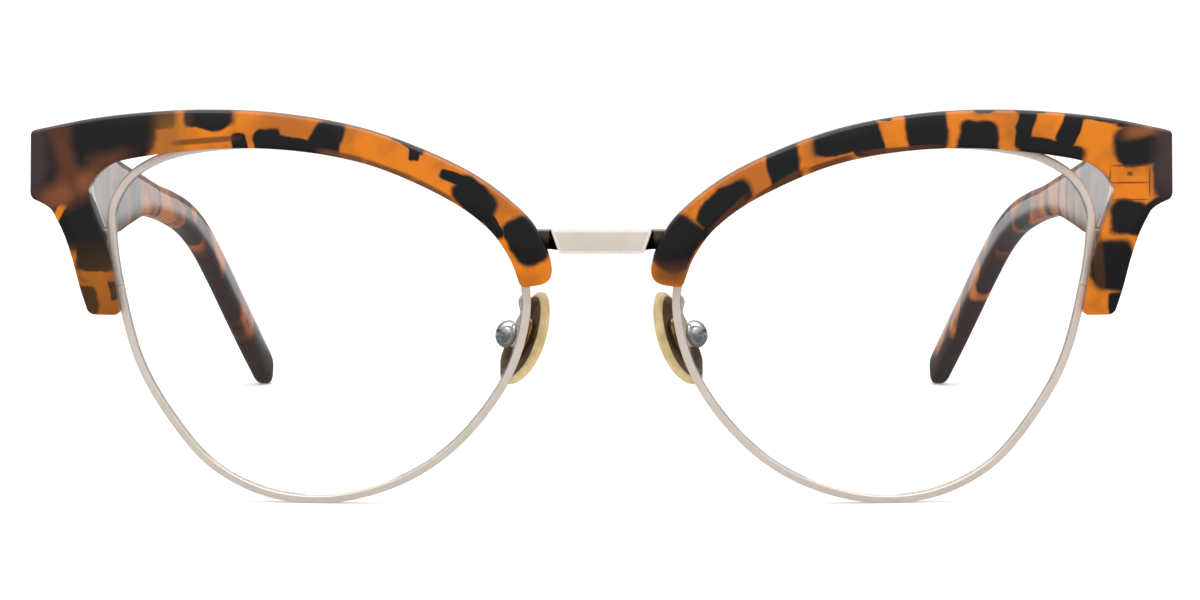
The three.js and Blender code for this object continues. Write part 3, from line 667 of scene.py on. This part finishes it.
def hinge_front():
    leaf = block(LEAF["x"], LEAF["y"], LEAF["z"], 0.1)
    knuckles = []
    for level in (0, 2, 4):
        bottom = HINGE_BOTTOM + level * BARREL_PITCH
        top = bottom + BARREL_HEIGHT
        low, high = max(bottom, LEAF["z"][0]), min(top, LEAF["z"][1])
        x = (LEAF["x"][0], HINGE.x + 0.9)
        knuckles.append(block(x, (LEAF["y"][0] + 0.1, HINGE.y), (low, high)))
        knuckles.append(block(x, (END_PIECE_BACK + GAP, HINGE.y), (bottom, top)))
        knuckles.append(barrel(level))
    return cut(join(leaf, *knuckles), hinge_hole())


def hinge_temple():
    leaf = block(TEMPLE_LEAF["x"], TEMPLE_LEAF["y"], TEMPLE_LEAF["z"], 0.1)
    knuckles = []
    for level in (1, 3):
        bottom = HINGE_BOTTOM + level * BARREL_PITCH
        low = max(bottom, TEMPLE_LEAF["z"][0])
        knuckles.append(block((HINGE.x, TEMPLE_LEAF["x"][0] + 0.3), (HINGE.y - 0.7, HINGE.y + 0.9),
                              (low, bottom + BARREL_HEIGHT)))
        knuckles.append(barrel(level))
    return cut(join(leaf, *knuckles), hinge_hole())


def hinge_screw():
    length = 4 * BARREL_PITCH + BARREL_HEIGHT + 0.1
    return upright(slotted_screw(PIN_RADIUS, length, 1.05, 0.7), HINGE.x, HINGE.y, HINGE_BOTTOM)


# ---- temple
# Along the temple: [y, centre x, centre z, height, thickness].
TEMPLE_STATIONS = np.array([
    [12.8, 68.4, 41.9, 8.2, 4.2],
    [22, 68.1, 40.4, 9.4, 4.1],
    [32, 67.7, 38.3, 11.3, 3.9],
    [43, 67.2, 36.4, 11.8, 3.7],
    [53, 66.6, 35.3, 10.2, 3.5],
    [63, 66, 34.7, 8, 3.4],
    [74, 65.2, 34, 5.8, 3.2],
    [84, 64.4, 32.7, 4.8, 3.2],
    [95, 63.3, 31, 4.8, 3.2],
    [105, 62, 28.7, 5, 3.2],
    [113, 60.7, 25.4, 5.3, 3.2],
    [121, 59.2, 20.4, 5.6, 3.2],
    [129, 57.4, 14.2, 5.8, 3.2],
    [136, 55.6, 8.3, 5.9, 3.2],
    [142, 53.9, 3, 5.8, 3.1],
])
TIP_LENGTH = 0.55                # of the rounded end, as a share of the last height
TEMPLE_STEPS = 16
TEMPLE_LINE = centripetal(TEMPLE_STATIONS[:, [1, 0, 2]], steps=TEMPLE_STEPS)
TEMPLE_SIZES = np.vstack([spline(TEMPLE_STATIONS[:, 3:], TEMPLE_STEPS), TEMPLE_STATIONS[-1:, 3:]])


def temple_ring(point, tangent, height, thick, squareness, corners=64):
    """A rounded section across the temple; it widens along X and rises across the tangent."""
    up = np.array([0, -tangent[2], tangent[1]])
    up /= np.linalg.norm(up)
    angles = (np.arange(corners) + 0.5) * 2 * math.pi / corners
    power = 2 / squareness
    across = np.sign(np.cos(angles)) * np.abs(np.cos(angles)) ** power * thick / 2
    rise = np.sign(np.sin(angles)) * np.abs(np.sin(angles)) ** power * height / 2
    return point + across[:, None] * np.array([1, 0, 0]) + rise[:, None] * up


def temple():
    tangents = np.gradient(TEMPLE_LINE, axis=0)
    tangents /= np.linalg.norm(tangents, axis=1)[:, None]
    tangents[0] = (0, 1, 0)
    rings = []
    edge = 0.25
    for share in (0.0, 0.35, 0.75):
        size = edge * (1 - math.sin(share * math.pi / 2))
        point = TEMPLE_LINE[0] + np.array([0, edge * (1 - math.cos(share * math.pi / 2)), 0])
        height, thick = TEMPLE_SIZES[0] - 2 * size
        rings.append(temple_ring(point, tangents[0], height, thick, 6))
    for point, tangent, (height, thick) in zip(TEMPLE_LINE[1:], tangents[1:], TEMPLE_SIZES[1:]):
        squareness = 6 - 3 * smoothstep(30, 90, point[1])
        rings.append(temple_ring(point, tangent, height, thick, squareness))
    height, thick = TEMPLE_SIZES[-1]
    for angle in np.linspace(0, math.asin(0.95), 14)[1:]:
        point = TEMPLE_LINE[-1] + tangents[-1] * math.sin(angle) * height * TIP_LENGTH
        rings.append(temple_ring(point, tangents[-1], height * math.cos(angle), thick * math.cos(angle), 3))
    leaf = TEMPLE_LEAF
    pocket = block((60, leaf["x"][1] + GAP), (10, leaf["y"][1] + SLACK),
                   (leaf["z"][0] - SLACK, leaf["z"][1] + SLACK))
    return cut(skin(rings), pocket, core_channel())


def core_channel():
    """The flat channel that the temple's wire core lies in, a little larger than the wire."""
    rings = []
    for y in np.linspace(CORE_START - 1.2, CORE_END + 0.4, 60):
        centre = np.array([np.interp(y, TEMPLE_LINE[:, 1], column) for column in TEMPLE_LINE.T])
        slope = np.interp(y + 1, TEMPLE_LINE[:, 1], TEMPLE_LINE[:, 2])
        slope = (slope - np.interp(y - 1, TEMPLE_LINE[:, 1], TEMPLE_LINE[:, 2])) / 2
        x_share, z_share = smoothstep(28, 45, y), smoothstep(24, 34, y)
        centre[0] = (TEMPLE_LEAF["x"][1] - 0.5) * (1 - x_share) + centre[0] * x_share
        centre[2] = 39.9 * (1 - z_share) + centre[2] * z_share
        up = np.array([0, -slope, 1]) / math.hypot(slope, 1)
        across = np.array([0.7, 0, 0])
        rings.append(np.array([centre + across + up, centre - across + up,
                               centre - across - up, centre + across - up]))
    return skin(rings)


# ---- materials
class Nodes:
    """A node tree, with short ways to add and join its nodes."""

    def __init__(self, owner):
        owner.use_nodes = True
        self.nodes, self.links = owner.node_tree.nodes, owner.node_tree.links

    def add(self, kind, inputs=None, **settings):
        """Adds a node: settings are its properties; inputs are values or other nodes' sockets."""
        node = self.nodes.new(kind)
        for key, value in settings.items():
            setattr(node, key, value)
        for key, value in (inputs or {}).items():
            if isinstance(value, bpy.types.NodeSocket):
                self.links.new(value, node.inputs[key])
            else:
                node.inputs[key].default_value = value
        return node

    def maths(self, operation, first, second):
        return self.add("ShaderNodeMath", {0: first, 1: second}, operation=operation).outputs[0]

    def vector_math(self, operation, first, second):
        return self.add("ShaderNodeVectorMath", {0: first, 1: second}, operation=operation).outputs[0]

    def between(self, value, from_low, from_high, to_low, to_high, smooth=False):
        node = self.add("ShaderNodeMapRange", {0: value, 1: from_low, 2: from_high, 3: to_low, 4: to_high},
                        interpolation_type="SMOOTHSTEP" if smooth else "LINEAR")
        return node.outputs[0]


class Tree(Nodes):
    """The nodes of a new material."""

    def __init__(self, name):
        self.material = bpy.data.materials.new(name)
        super().__init__(self.material)
        self.shader = self.nodes["Principled BSDF"]

    def millimetres(self):
        """Object coordinates in millimetres, which stay with the piece when it moves."""
        coordinates = self.add("ShaderNodeTexCoord")
        return self.vector_math("MULTIPLY", coordinates.outputs["Object"], (1 / MM, 1 / MM, 1 / MM))

    def noise(self, vector, scale, detail=3.0, stretch=None, output="Fac"):
        if stretch:
            vector = self.vector_math("MULTIPLY", vector, stretch)
        inputs = {"Vector": vector, "Scale": scale, "Detail": detail}
        return self.add("ShaderNodeTexNoise", inputs).outputs[output]

    def mix(self, share, first, second):
        return self.add("ShaderNodeMix", {0: share, 6: first, 7: second}, data_type="RGBA").outputs[2]

    def drive(self, socket, source):
        """Joins a node's output to one of the shader's own sockets."""
        self.links.new(source, self.shader.inputs[socket])

    def bump(self, height, distance_mm):
        inputs = {"Height": height, "Strength": 1.0, "Distance": distance_mm * MM}
        self.drive("Normal", self.add("ShaderNodeBump", inputs).outputs[0])

    def set(self, **values):
        for key, value in values.items():
            self.shader.inputs[key.replace("_", " ")].default_value = value

    def show_mix(self, share, first, second):
        """Makes the surface a mix of two shaders."""
        node = self.add("ShaderNodeMixShader", {0: share, 1: first, 2: second})
        self.links.new(node.outputs[0], self.nodes["Material Output"].inputs["Surface"])


def patch_distance(tree, vector, patches, plane):
    """Least distance to a set of squarish ovals: 1 on an edge, less inside.

    Each patch is (u, v, half length, half height) in the plane 'xz' or 'yz', and may add a tilt in degrees.
    """
    least = None
    for u, v, half_u, half_v, *tilt in patches:
        tilt = math.radians(tilt[0]) if tilt else 0
        if plane == "xz":
            place, size, turn = (u, 0, v), (half_u, 1, half_v), (0, -tilt, 0)
        else:
            place, size, turn = (0, u, v), (1, half_u, half_v), (tilt, 0, 0)
        mapped = tree.add("ShaderNodeMapping", {"Vector": vector, "Location": place, "Rotation": turn,
                                                "Scale": size}, vector_type="TEXTURE")
        squared = tree.vector_math("MULTIPLY", mapped.outputs[0], mapped.outputs[0])
        reach = tree.add("ShaderNodeVectorMath", {0: squared}, operation="LENGTH").outputs["Value"]
        least = reach if least is None else tree.maths("MINIMUM", least, reach)
    return tree.maths("POWER", least, 0.5)


AMBER = (0.64, 0.178, 0.007, 1)
AMBER_DEEP = (0.41, 0.115, 0.011, 1)
TEMPLE_AMBER = (0.46, 0.145, 0.034, 1)
TEMPLE_DEEP = (0.20, 0.055, 0.020, 1)
TEMPLE_BLACK = (0.026, 0.013, 0.012, 1)
AMBER_SOFT = (0.36, 0.11, 0.035, 1)
BROWN = (0.075, 0.026, 0.010, 1)
NEAR_BLACK = (0.0062, 0.0052, 0.0056, 1)
# painted sheen: a grey-plum lift on the dark outer corners of the brows, where the soft box reflects
PAINTED_SHEEN_PLUM = (0.052, 0.031, 0.030, 1)
WANDER_SCALE, WANDER = 0.17, (3, 3, 3)     # patch edges stray by half of this to either side, in mm


def tortoise(name, plane, dark, windows=(), veils_and_sheen=(), marks=(), amber=(AMBER_DEEP, AMBER),
             black=NEAR_BLACK, softness=1.0):
    """Polished tortoiseshell acetate.

    Dark patches lie in amber and windows of clear amber lie in the dark. Veils are cloudy tints, some of
    them painted sheen. Marks are straight ones, some of them painted shade; each is (patches, colour,
    strength). All run straight through the sheet.
    """
    tree = Tree(name)
    place = tree.millimetres()
    flat = (1, 0, 1) if plane == "xz" else (0, 1, 1)
    still = tree.vector_math("MULTIPLY", tree.vector_math("ADD", place, (0, SETBACK, 0)), flat)
    wander = tree.noise(still, WANDER_SCALE, output="Color")
    sway = tree.vector_math("MULTIPLY", tree.vector_math("SUBTRACT", wander, (0.5, 0.5, 0.5)), WANDER)
    vector = tree.vector_math("ADD", still, tree.vector_math("MULTIPLY", sway, flat))

    clouds = tree.noise(place, 0.16, 4.0)
    body = tree.mix(tree.between(clouds, 0.36, 0.60, 0, 1, True), *amber)
    edge = patch_distance(tree, vector, dark, plane)
    soft = 0.07 * softness
    shade = tree.mix(tree.between(edge, 1 - soft, 1.02 + 2 * soft, 1, 0, True), body, BROWN)
    colour = tree.mix(tree.between(edge, 0.95 - soft, 0.95 + soft, 1, 0, True), shade, black)
    if windows:
        clear = patch_distance(tree, vector, windows, plane)
        colour = tree.mix(tree.between(clear, 0.7, 1.25, 1, 0, True), colour, body)
    # Some veil tints are painted sheen and some mark tints are painted shade, laid over the acetate's own
    # colour.
    for layers, place_in, inner, outer in ((veils_and_sheen, vector, 0.2, 1.4), (marks, still, 0.6, 1.15)):
        for patches, tint, strength in layers:
            reach = patch_distance(tree, place_in, patches, plane)
            colour = tree.mix(tree.between(reach, inner, outer, strength, 0, True), colour, tint)

    tree.drive("Base Color", colour)
    tree.drive("Roughness", tree.between(tree.noise(place, 0.35, 5.0), 0.3, 0.7, 0.05, 0.12))
    tree.bump(tree.noise(place, 0.22, 2.0), 0.05)
    tree.set(IOR=1.49, Subsurface_Weight=0.12, Subsurface_Scale=1.2 * MM,
             Subsurface_Radius=(1.0, 0.55, 0.2))
    return tree.material


def polished_metal(name, colour, worn, roughness, metallic=1.0, grain=(1, 1, 1), grain_mm=0.0012):
    """Plated metal: slight colour drift, fine polishing marks and small handling smears."""
    tree = Tree(name)
    place = tree.millimetres()
    drift = tree.between(tree.noise(place, 0.3, 4.0), 0.35, 0.7, 0, 1)
    tree.drive("Base Color", tree.mix(drift, colour, worn))
    smears = tree.noise(place, 0.77)
    tree.drive("Roughness", tree.between(smears, 0.3, 0.75, roughness * 0.75, roughness * 1.45))
    tree.bump(tree.noise(place, 2.3, 2.0, grain), grain_mm)
    tree.set(Metallic=metallic)
    return tree.material


def clear_lens():
    """An almost invisible lens: light passes straight through, and gloss grows towards grazing angles."""
    tree = Tree("clear_lens")
    place = tree.millimetres()
    tree.drive("Roughness", tree.between(tree.noise(place, 0.08, 4.0), 0.4, 0.7, 0.01, 0.035))
    tint = tree.noise(place, 0.05, 2.0)
    tree.drive("Base Color", tree.mix(tint, (0.86, 0.92, 0.90, 1), (0.90, 0.93, 0.96, 1)))
    tree.set(Metallic=1.0)
    clear = tree.add("ShaderNodeBsdfTransparent", {"Color": (0.985, 0.99, 0.99, 1)})
    fresnel = tree.add("ShaderNodeFresnel", {"IOR": 1.5})
    share = tree.between(fresnel.outputs[0], 0.0, 1.0, 0.0, 0.6)
    tree.show_mix(share, clear.outputs[0], tree.shader.outputs[0])
    return tree.material


def pad_silicone(name, dark, light):
    """Straw-coloured silicone with a soft satin skin."""
    tree = Tree(name)
    place = tree.millimetres()
    clouds = tree.between(tree.noise(place, 0.5), 0.35, 0.7, 0, 1)
    tree.drive("Base Color", tree.mix(clouds, dark, light))
    grain = tree.noise(place, 3.0, 4.0)
    tree.drive("Roughness", tree.between(grain, 0.3, 0.7, 0.16, 0.26))
    tree.bump(grain, 0.01)
    tree.set(IOR=1.41, Subsurface_Weight=0.3, Subsurface_Scale=0.8 * MM,
             Subsurface_Radius=(1.0, 0.75, 0.4))
    return tree.material


DARK_LEFT = [                    # the brow on the wearer's left (+X), in front view: (x, z)
    (9.4, 32.7, 3.4, 2.5, 58), (15.0, 37.3, 3.8, 1.8, 44), (13.0, 34.4, 1.4, 0.7, 50),
    (22.3, 41.9, 1.9, 3.3, 10), (29.6, 45.4, 4.2, 1.8, 14), (32.4, 45.4, 1.8, 2.4, 4),
    (39.7, 46.6, 2.6, 2.9), (46.8, 49.1, 1.5, 0.8), (46.2, 45.0, 2.6, 2.3),
    (52.0, 46.5, 1.1, 2.4, -10),
    (53.0, 48.9, 2.4, 0.8), (57.8, 47.0, 1.3, 3.0, -18), (55.4, 43.8, 4.2, 1.3, -12),
    (62.0, 48.2, 4.6, 0.8, -6), (66.9, 44.4, 3.4, 2.4, -2), (66.8, 47.2, 3.2, 0.7, -4),
    (65.3, 35.2, 2.7, 2.3, -6), (70.4, 42.6, 1.8, 5.4), (68.6, 36.4, 1.4, 1.2, 30),
    (63.0, 29.4, 2.7, 3.2, -8), (63.6, 24.4, 1.2, 1.7, 10), (34.9, 47.6, 0.6, 0.4),
]
VEILS_AND_SHEEN_LEFT = [
    ([(66.8, 46.2, 2.6, 0.9, 8)], AMBER_SOFT, 0.6),
    # painted sheen on the outer corner
    ([(70.2, 43.0, 2.2, 6.0)], PAINTED_SHEEN_PLUM, 0.9),
    ([(8.2, 28.9, 2.9, 1.7)], BROWN, 0.75),
]
MARKS_AND_PAINTED_SHADE_LEFT = [                   # the hinge plate inside the corner, and painted shade on the lower edge
    ([(65.2, 39.7, 2.6, 0.12), (62.7, 39.8, 0.1, 1.9), (67.7, 39.8, 0.1, 1.9),
      (65.2, 40.8, 0.4, 0.3),
      (65.2, 41.8, 2.6, 0.12), (65.2, 37.6, 2.6, 0.1)], BROWN, 0.8),
    # painted shade: darker strips along the brow's lower edge
    ([(15.6, 36.2, 3.4, 0.6, 43), (21.6, 39.7, 4.2, 0.55, 30), (28.0, 42.3, 3.4, 0.5, 17),
      (36.7, 43.9, 5.4, 0.45, 4)], BROWN, 0.9),
    ([(60.9, 33.5, 0.8, 8.0, 6)], BROWN, 0.6),
]
DARK_RIGHT = [                   # the brow on the wearer's right (-X)
    (-65.5, 42.8, 8.8, 6.2), (-57.8, 47.4, 5.4, 1.4, 3), (-59.5, 45.4, 4.6, 2.6),
    (-64.6, 36.6, 3.9, 5.4, 12), (-62.4, 31.4, 2.8, 3.2, 12), (-63.9, 25.2, 1.5, 1.9),
    (-60.0, 26.6, 0.8, 1.5),
    (-48.1, 48.3, 2.9, 1.6), (-44.5, 44.4, 1.0, 1.5), (-40.7, 44.2, 1.8, 2.1),
    (-37.0, 43.8, 3.4, 1.5), (-33.7, 44.8, 2.0, 2.5, -16), (-23.8, 44.7, 2.2, 0.6, -26),
    (-23.0, 43.6, 0.7, 0.9), (-17.9, 40.4, 1.6, 0.8, -20), (-15.6, 38.1, 2.9, 2.0, -40),
    (-13.5, 34.9, 0.8, 2.2, 28), (-9.3, 33.0, 2.8, 2.3, -58),
]
WINDOWS_RIGHT = [(-67.4, 35.2, 0.6, 1.9, -24), (-62.0, 28.2, 2.7, 0.5, -10)]
VEILS_AND_SHEEN_RIGHT = [
    ([(-66.4, 43.2, 1.7, 5.0, 10), (-64.8, 38.8, 4.4, 2.0, 24),
      (-60.4, 42.0, 3.0, 1.5, 16)], AMBER_SOFT, 0.22),
    ([(-67.6, 38.2, 2.4, 1.6, 26), (-63.2, 39.6, 2.2, 1.7)], AMBER_SOFT, 0.36),
    # painted sheen on the outer corner
    ([(-70.2, 43.0, 2.0, 6.2)], PAINTED_SHEEN_PLUM, 0.8),
    ([(-62.0, 25.0, 6.0, 6.5)], (0.085, 0.036, 0.008, 1), 0.6),
    ([(-53.0, 45.6, 2.6, 3.4)], (0.30, 0.12, 0.02, 1), 0.5),
]
PAINTED_SHADE_RIGHT = [                  # painted shade along the lower edge
    ([(-31.6, 43.0, 3.4, 0.7, -12), (-26.0, 41.3, 4.2, 0.7, -20), (-20.6, 38.9, 3.4, 0.7, -28)],
     (0.10, 0.042, 0.022, 1), 0.9),
    ([(-48.6, 45.0, 4.6, 0.4, 5)], BROWN, 0.75),
]
DARK_TEMPLE_LEFT = [             # the temples in side view: (y, z)
    (14, 43, 5, 4, 20), (17, 37.5, 3.5, 3, -10), (27, 40.5, 3.8, 5.5, 10), (38, 35, 5.5, 3.6, -20),
    (40, 41.5, 5, 2), (50, 38, 3.6, 4.0, 15), (58.4, 35, 0.8, 9, 2), (64, 35, 0.9, 9, 6),
    (70.5, 34, 1.1, 8), (79, 33, 1.3, 6, -10),
    (96, 30.0, 5.5, 1.6, -20), (126, 16, 24, 7, -52), (108, 26.5, 5, 3.5, -35), (144, 3, 6, 7),
]
WINDOWS_TEMPLE_LEFT = [
    (115.5, 27.0, 5.0, 2.0, -45), (123, 18.4, 1.5, 3.4, 40), (131, 12.8, 1.4, 4.5, 30),
    (138.5, 8.8, 4.0, 2.0, -52),
]
DARK_TEMPLE_RIGHT = [
    (14, 40, 5, 5.5, 12), (27, 42, 5.4, 3.4, -8), (28, 35.5, 4.6, 2.6, 10), (39.5, 38.5, 4.4, 5.4),
    (51, 34.5, 5.4, 3.0), (53, 40, 4, 2), (63, 36, 3.6, 5.0, 12), (81.8, 33, 0.8, 6),
    (125, 17, 27, 7, -52), (104, 27.0, 5.5, 3.2, -25),
    (144, 3, 7, 8), (98, 32.5, 2.4, 1.2, -20),
]
WINDOWS_TEMPLE_RIGHT = [(105.5, 30.4, 1.6, 2.4, -20), (117.0, 24.6, 6.0, 2.2, -50),
(131.5, 12.8, 4.2, 2.6, -52)]
VEILS_TEMPLE = [([(30, 39, 34, 14)], (0.035, 0.015, 0.010, 1), 0.72)]


def make_materials():
    temple = {"veils_and_sheen": VEILS_TEMPLE, "amber": (TEMPLE_DEEP, TEMPLE_AMBER), "black": TEMPLE_BLACK,
              "softness": 2.2}
    satin = {"roughness": 0.38, "metallic": 0.25, "grain_mm": 0.0003}
    return {
        "brow": (
            tortoise("tortoise_brow_left", "xz", DARK_LEFT, (), VEILS_AND_SHEEN_LEFT, MARKS_AND_PAINTED_SHADE_LEFT),
            tortoise("tortoise_brow_right", "xz", DARK_RIGHT, WINDOWS_RIGHT, VEILS_AND_SHEEN_RIGHT, PAINTED_SHADE_RIGHT),
        ),
        "temple": (
            tortoise("tortoise_temple_left", "yz", DARK_TEMPLE_LEFT, WINDOWS_TEMPLE_LEFT, **temple),
            tortoise("tortoise_temple_right", "yz", DARK_TEMPLE_RIGHT, WINDOWS_TEMPLE_RIGHT, **temple),
        ),
        "champagne": polished_metal("champagne_gold", (0.80, 0.70, 0.62, 1), (0.74, 0.64, 0.56, 1),
                                    0.18, 0.4),
        "bridge": [
            polished_metal("bridge_cream", (0.84, 0.79, 0.72, 1), (0.80, 0.74, 0.67, 1), **satin),
            # the same satin metal made darker for the bar's flat front: painted shade
            polished_metal("bridge_panel_painted_shade", (0.68, 0.62, 0.54, 1), (0.64, 0.57, 0.49, 1), **satin),
            # polished, with a dark base colour that paints in the reflection of the acetate around the necks
            polished_metal("bridge_neck_painted_reflection", (0.22, 0.16, 0.13, 1), (0.16, 0.11, 0.09, 1), 0.1),
        ],
        "steel": polished_metal("polished_steel", (0.70, 0.71, 0.72, 1), (0.60, 0.61, 0.62, 1), 0.12),
        "gold": polished_metal("brushed_gold", (0.72, 0.53, 0.24, 1), (0.60, 0.42, 0.18, 1), 0.18),
        "core": polished_metal("drawn_core", (0.56, 0.55, 0.52, 1), (0.46, 0.45, 0.42, 1), 0.38, 1.0,
                               (1, 0.05, 1), 0.004),
        "lens": clear_lens(),
        "silicone": [
            pad_silicone("pad_silicone", (0.52, 0.39, 0.18, 1), (0.72, 0.58, 0.33, 1)),
            # a dark copy of the pad silicone for the hollow in its back: painted shade
            pad_silicone("pad_recess_painted_shade", (0.10, 0.062, 0.035, 1), (0.17, 0.115, 0.07, 1)),
        ],
    }


# ---- assembly
def build(looks):
    """Every piece. both() takes the look of the slot's own name."""
    def both(target, name, slot_name, sharp_angle=32, body="front"):
        pair(target, name, body, looks[slot_name], sharp_angle)

    locate(bridge(), "bridge", "front", looks["bridge"], 40)
    pair(brow(), "brow", "front", looks["brow"])
    both(rim(), "rim", "champagne", 40)
    both(lens(), "lens", "lens", 25)
    both(rim_lock(False), "rim_lock_upper", "champagne")
    both(rim_lock(True), "rim_lock_lower", "champagne")
    both(rim_lock_screw(), "rim_lock_screw", "steel")
    both(rim_tab(), "rim_tab", "champagne")
    tab_depth = wrap_depth(*TAB_SCREW)
    for name, (x, z), length, depth in (("nasal", NASAL_SCREW, 2.55, 1.15),
                                        ("temporal", TAB_SCREW, TAB_BACK - 1.05, tab_depth + 1.15)):
        screw = slotted_screw(SCREW_SHANK, length, 0.85, 0.55)
        moved(screw, lambda p, start=(x, depth, z): p + np.array(start))
        both(screw, "brow_screw_" + name, "steel")
    both(pad_arm(), "pad_arm", "champagne", 40)
    pad_body = "pad_{side}_assembly"
    both(pad_stud(), "pad_stud", "gold", body=pad_body)
    both(pad_nut(), "pad_nut", "steel", body=pad_body)
    both(nose_pad(), "nose_pad", "silicone", 60, pad_body)
    both(hinge_front(), "hinge_front", "steel")
    both(hinge_temple(), "hinge_temple", "steel", body="temple_{side}_arm")
    both(hinge_screw(), "hinge_screw", "steel")
    pair(temple(), "temple", "temple_{side}_arm", looks["temple"])
    for side in ("left", "right"):
        core = frame["nodes"][f"temple_core_{side}"]
        core.data.materials.clear()
        core.data.materials.append(looks["core"])


# ---- the set
EYE_DISTANCE, EYE_HEIGHT, FOCAL_LENGTH, SHIFT_X = 470, 67, 116.2, -0.00125
WHITE = (1, 1, 1, 1)
PLAIN_LIGHT = 0.72               # the world's brightness for everything but gloss
FLOOR_GLOW = 0.28                # keeps the paper evenly white
FLOOR_IN_GLOSS = (0.12, 0.55, 0.2, 1.1)                      # y from and to, in metres; dim and bright
CEILING_IN_GLOSS = ((0, -0.12, 1), 0.3, 0.7, 0.32, 0.95)     # aim; cosine from and to; dim and bright
SCREEN_IN_GLOSS = ((0, 1, 0), 0.95, 0.99, 0.0, 0.3)


def add_camera():
    """Stands in front of the glasses, a little above them, and looks down by about five degrees."""
    data = bpy.data.cameras.new("camera")
    camera = in_scene("camera", data)
    eye = Vector((0, -(EYE_DISTANCE + SETBACK), EYE_HEIGHT)) * MM
    target = Vector((0, -SETBACK, WRAP_CENTRE_Z)) * MM
    camera.location = eye
    camera.rotation_euler = (target - eye).to_track_quat("-Z", "Y").to_euler()
    data.sensor_width = 36
    data.lens = FOCAL_LENGTH
    data.shift_x = SHIFT_X
    data.clip_start = 0.01
    data.clip_end = 60
    bpy.context.scene.camera = camera


def add_floor():
    """Plain pale paper. Gloss sees it dim beside the glasses and bright far behind them."""
    size = 30
    mesh = bpy.data.meshes.new("floor")
    corners = [(-size, -size, 0), (size, -size, 0), (size, size, 0), (-size, size, 0)]
    mesh.from_pydata(corners, [], [(0, 1, 2, 3)])
    floor = in_scene("floor", mesh)
    tree = Tree("paper_floor")
    place = tree.add("ShaderNodeTexCoord").outputs["Object"]
    fibre = tree.noise(place, 40.0)
    tree.drive("Base Color", tree.mix(fibre, (0.90, 0.90, 0.90, 1), (0.93, 0.93, 0.93, 1)))
    tree.set(Roughness=0.9, Emission_Strength=FLOOR_GLOW, Emission_Color=WHITE)
    depth = tree.add("ShaderNodeSeparateXYZ", {0: place}).outputs["Y"]
    seen = tree.add("ShaderNodeEmission", {"Strength": tree.between(depth, *FLOOR_IN_GLOSS, True)})
    glossy = tree.add("ShaderNodeLightPath").outputs["Is Glossy Ray"]
    tree.show_mix(glossy, tree.shader.outputs[0], seen.outputs[0])
    mesh.materials.append(tree.material)


def add_light(name, place, aim, size, watts):
    data = bpy.data.lights.new(name, "AREA")
    data.shape = "RECTANGLE"
    data.size, data.size_y = size
    data.energy = watts
    light = in_scene(name, data)
    light.location = place
    light.rotation_euler = (Vector(aim) - Vector(place)).to_track_quat("-Z", "Y").to_euler()


def add_world():
    """A white studio for plain light. Gloss sees it as a dark room with a lit ceiling and a far screen."""
    world = bpy.data.worlds.new("studio")
    bpy.context.scene.world = world
    tree = Nodes(world)
    direction = tree.add("ShaderNodeTexCoord").outputs["Generated"]

    def glow(aim, low, high, dim, bright):
        """Brightness that grows from dim to bright as a direction turns towards aim."""
        facing = tree.add("ShaderNodeVectorMath", {0: direction, 1: Vector(aim).normalized()},
                          operation="DOT_PRODUCT").outputs["Value"]
        return tree.between(facing, low, high, dim, bright, True)

    room = tree.maths("MAXIMUM", glow(*CEILING_IN_GLOSS), glow(*SCREEN_IN_GLOSS))
    glossy = tree.add("ShaderNodeLightPath").outputs["Is Glossy Ray"]
    strength = tree.maths("MAXIMUM", room, tree.maths("SUBTRACT", PLAIN_LIGHT, glossy))
    background = tree.nodes["Background"]
    tree.links.new(strength, background.inputs["Strength"])
    background.inputs["Color"].default_value = WHITE


add_camera()
build(make_materials())
add_floor()
add_world()
add_light("overhead", (0, -0.05, 0.9), (0, 0, 0), (1.4, 1.0), 5)
add_light("high_front", (0, -0.55, 0.75), (0, -0.07, 0.03), (0.9, 0.25), 1.5)
bpy.context.scene.view_settings.view_transform = "Standard"
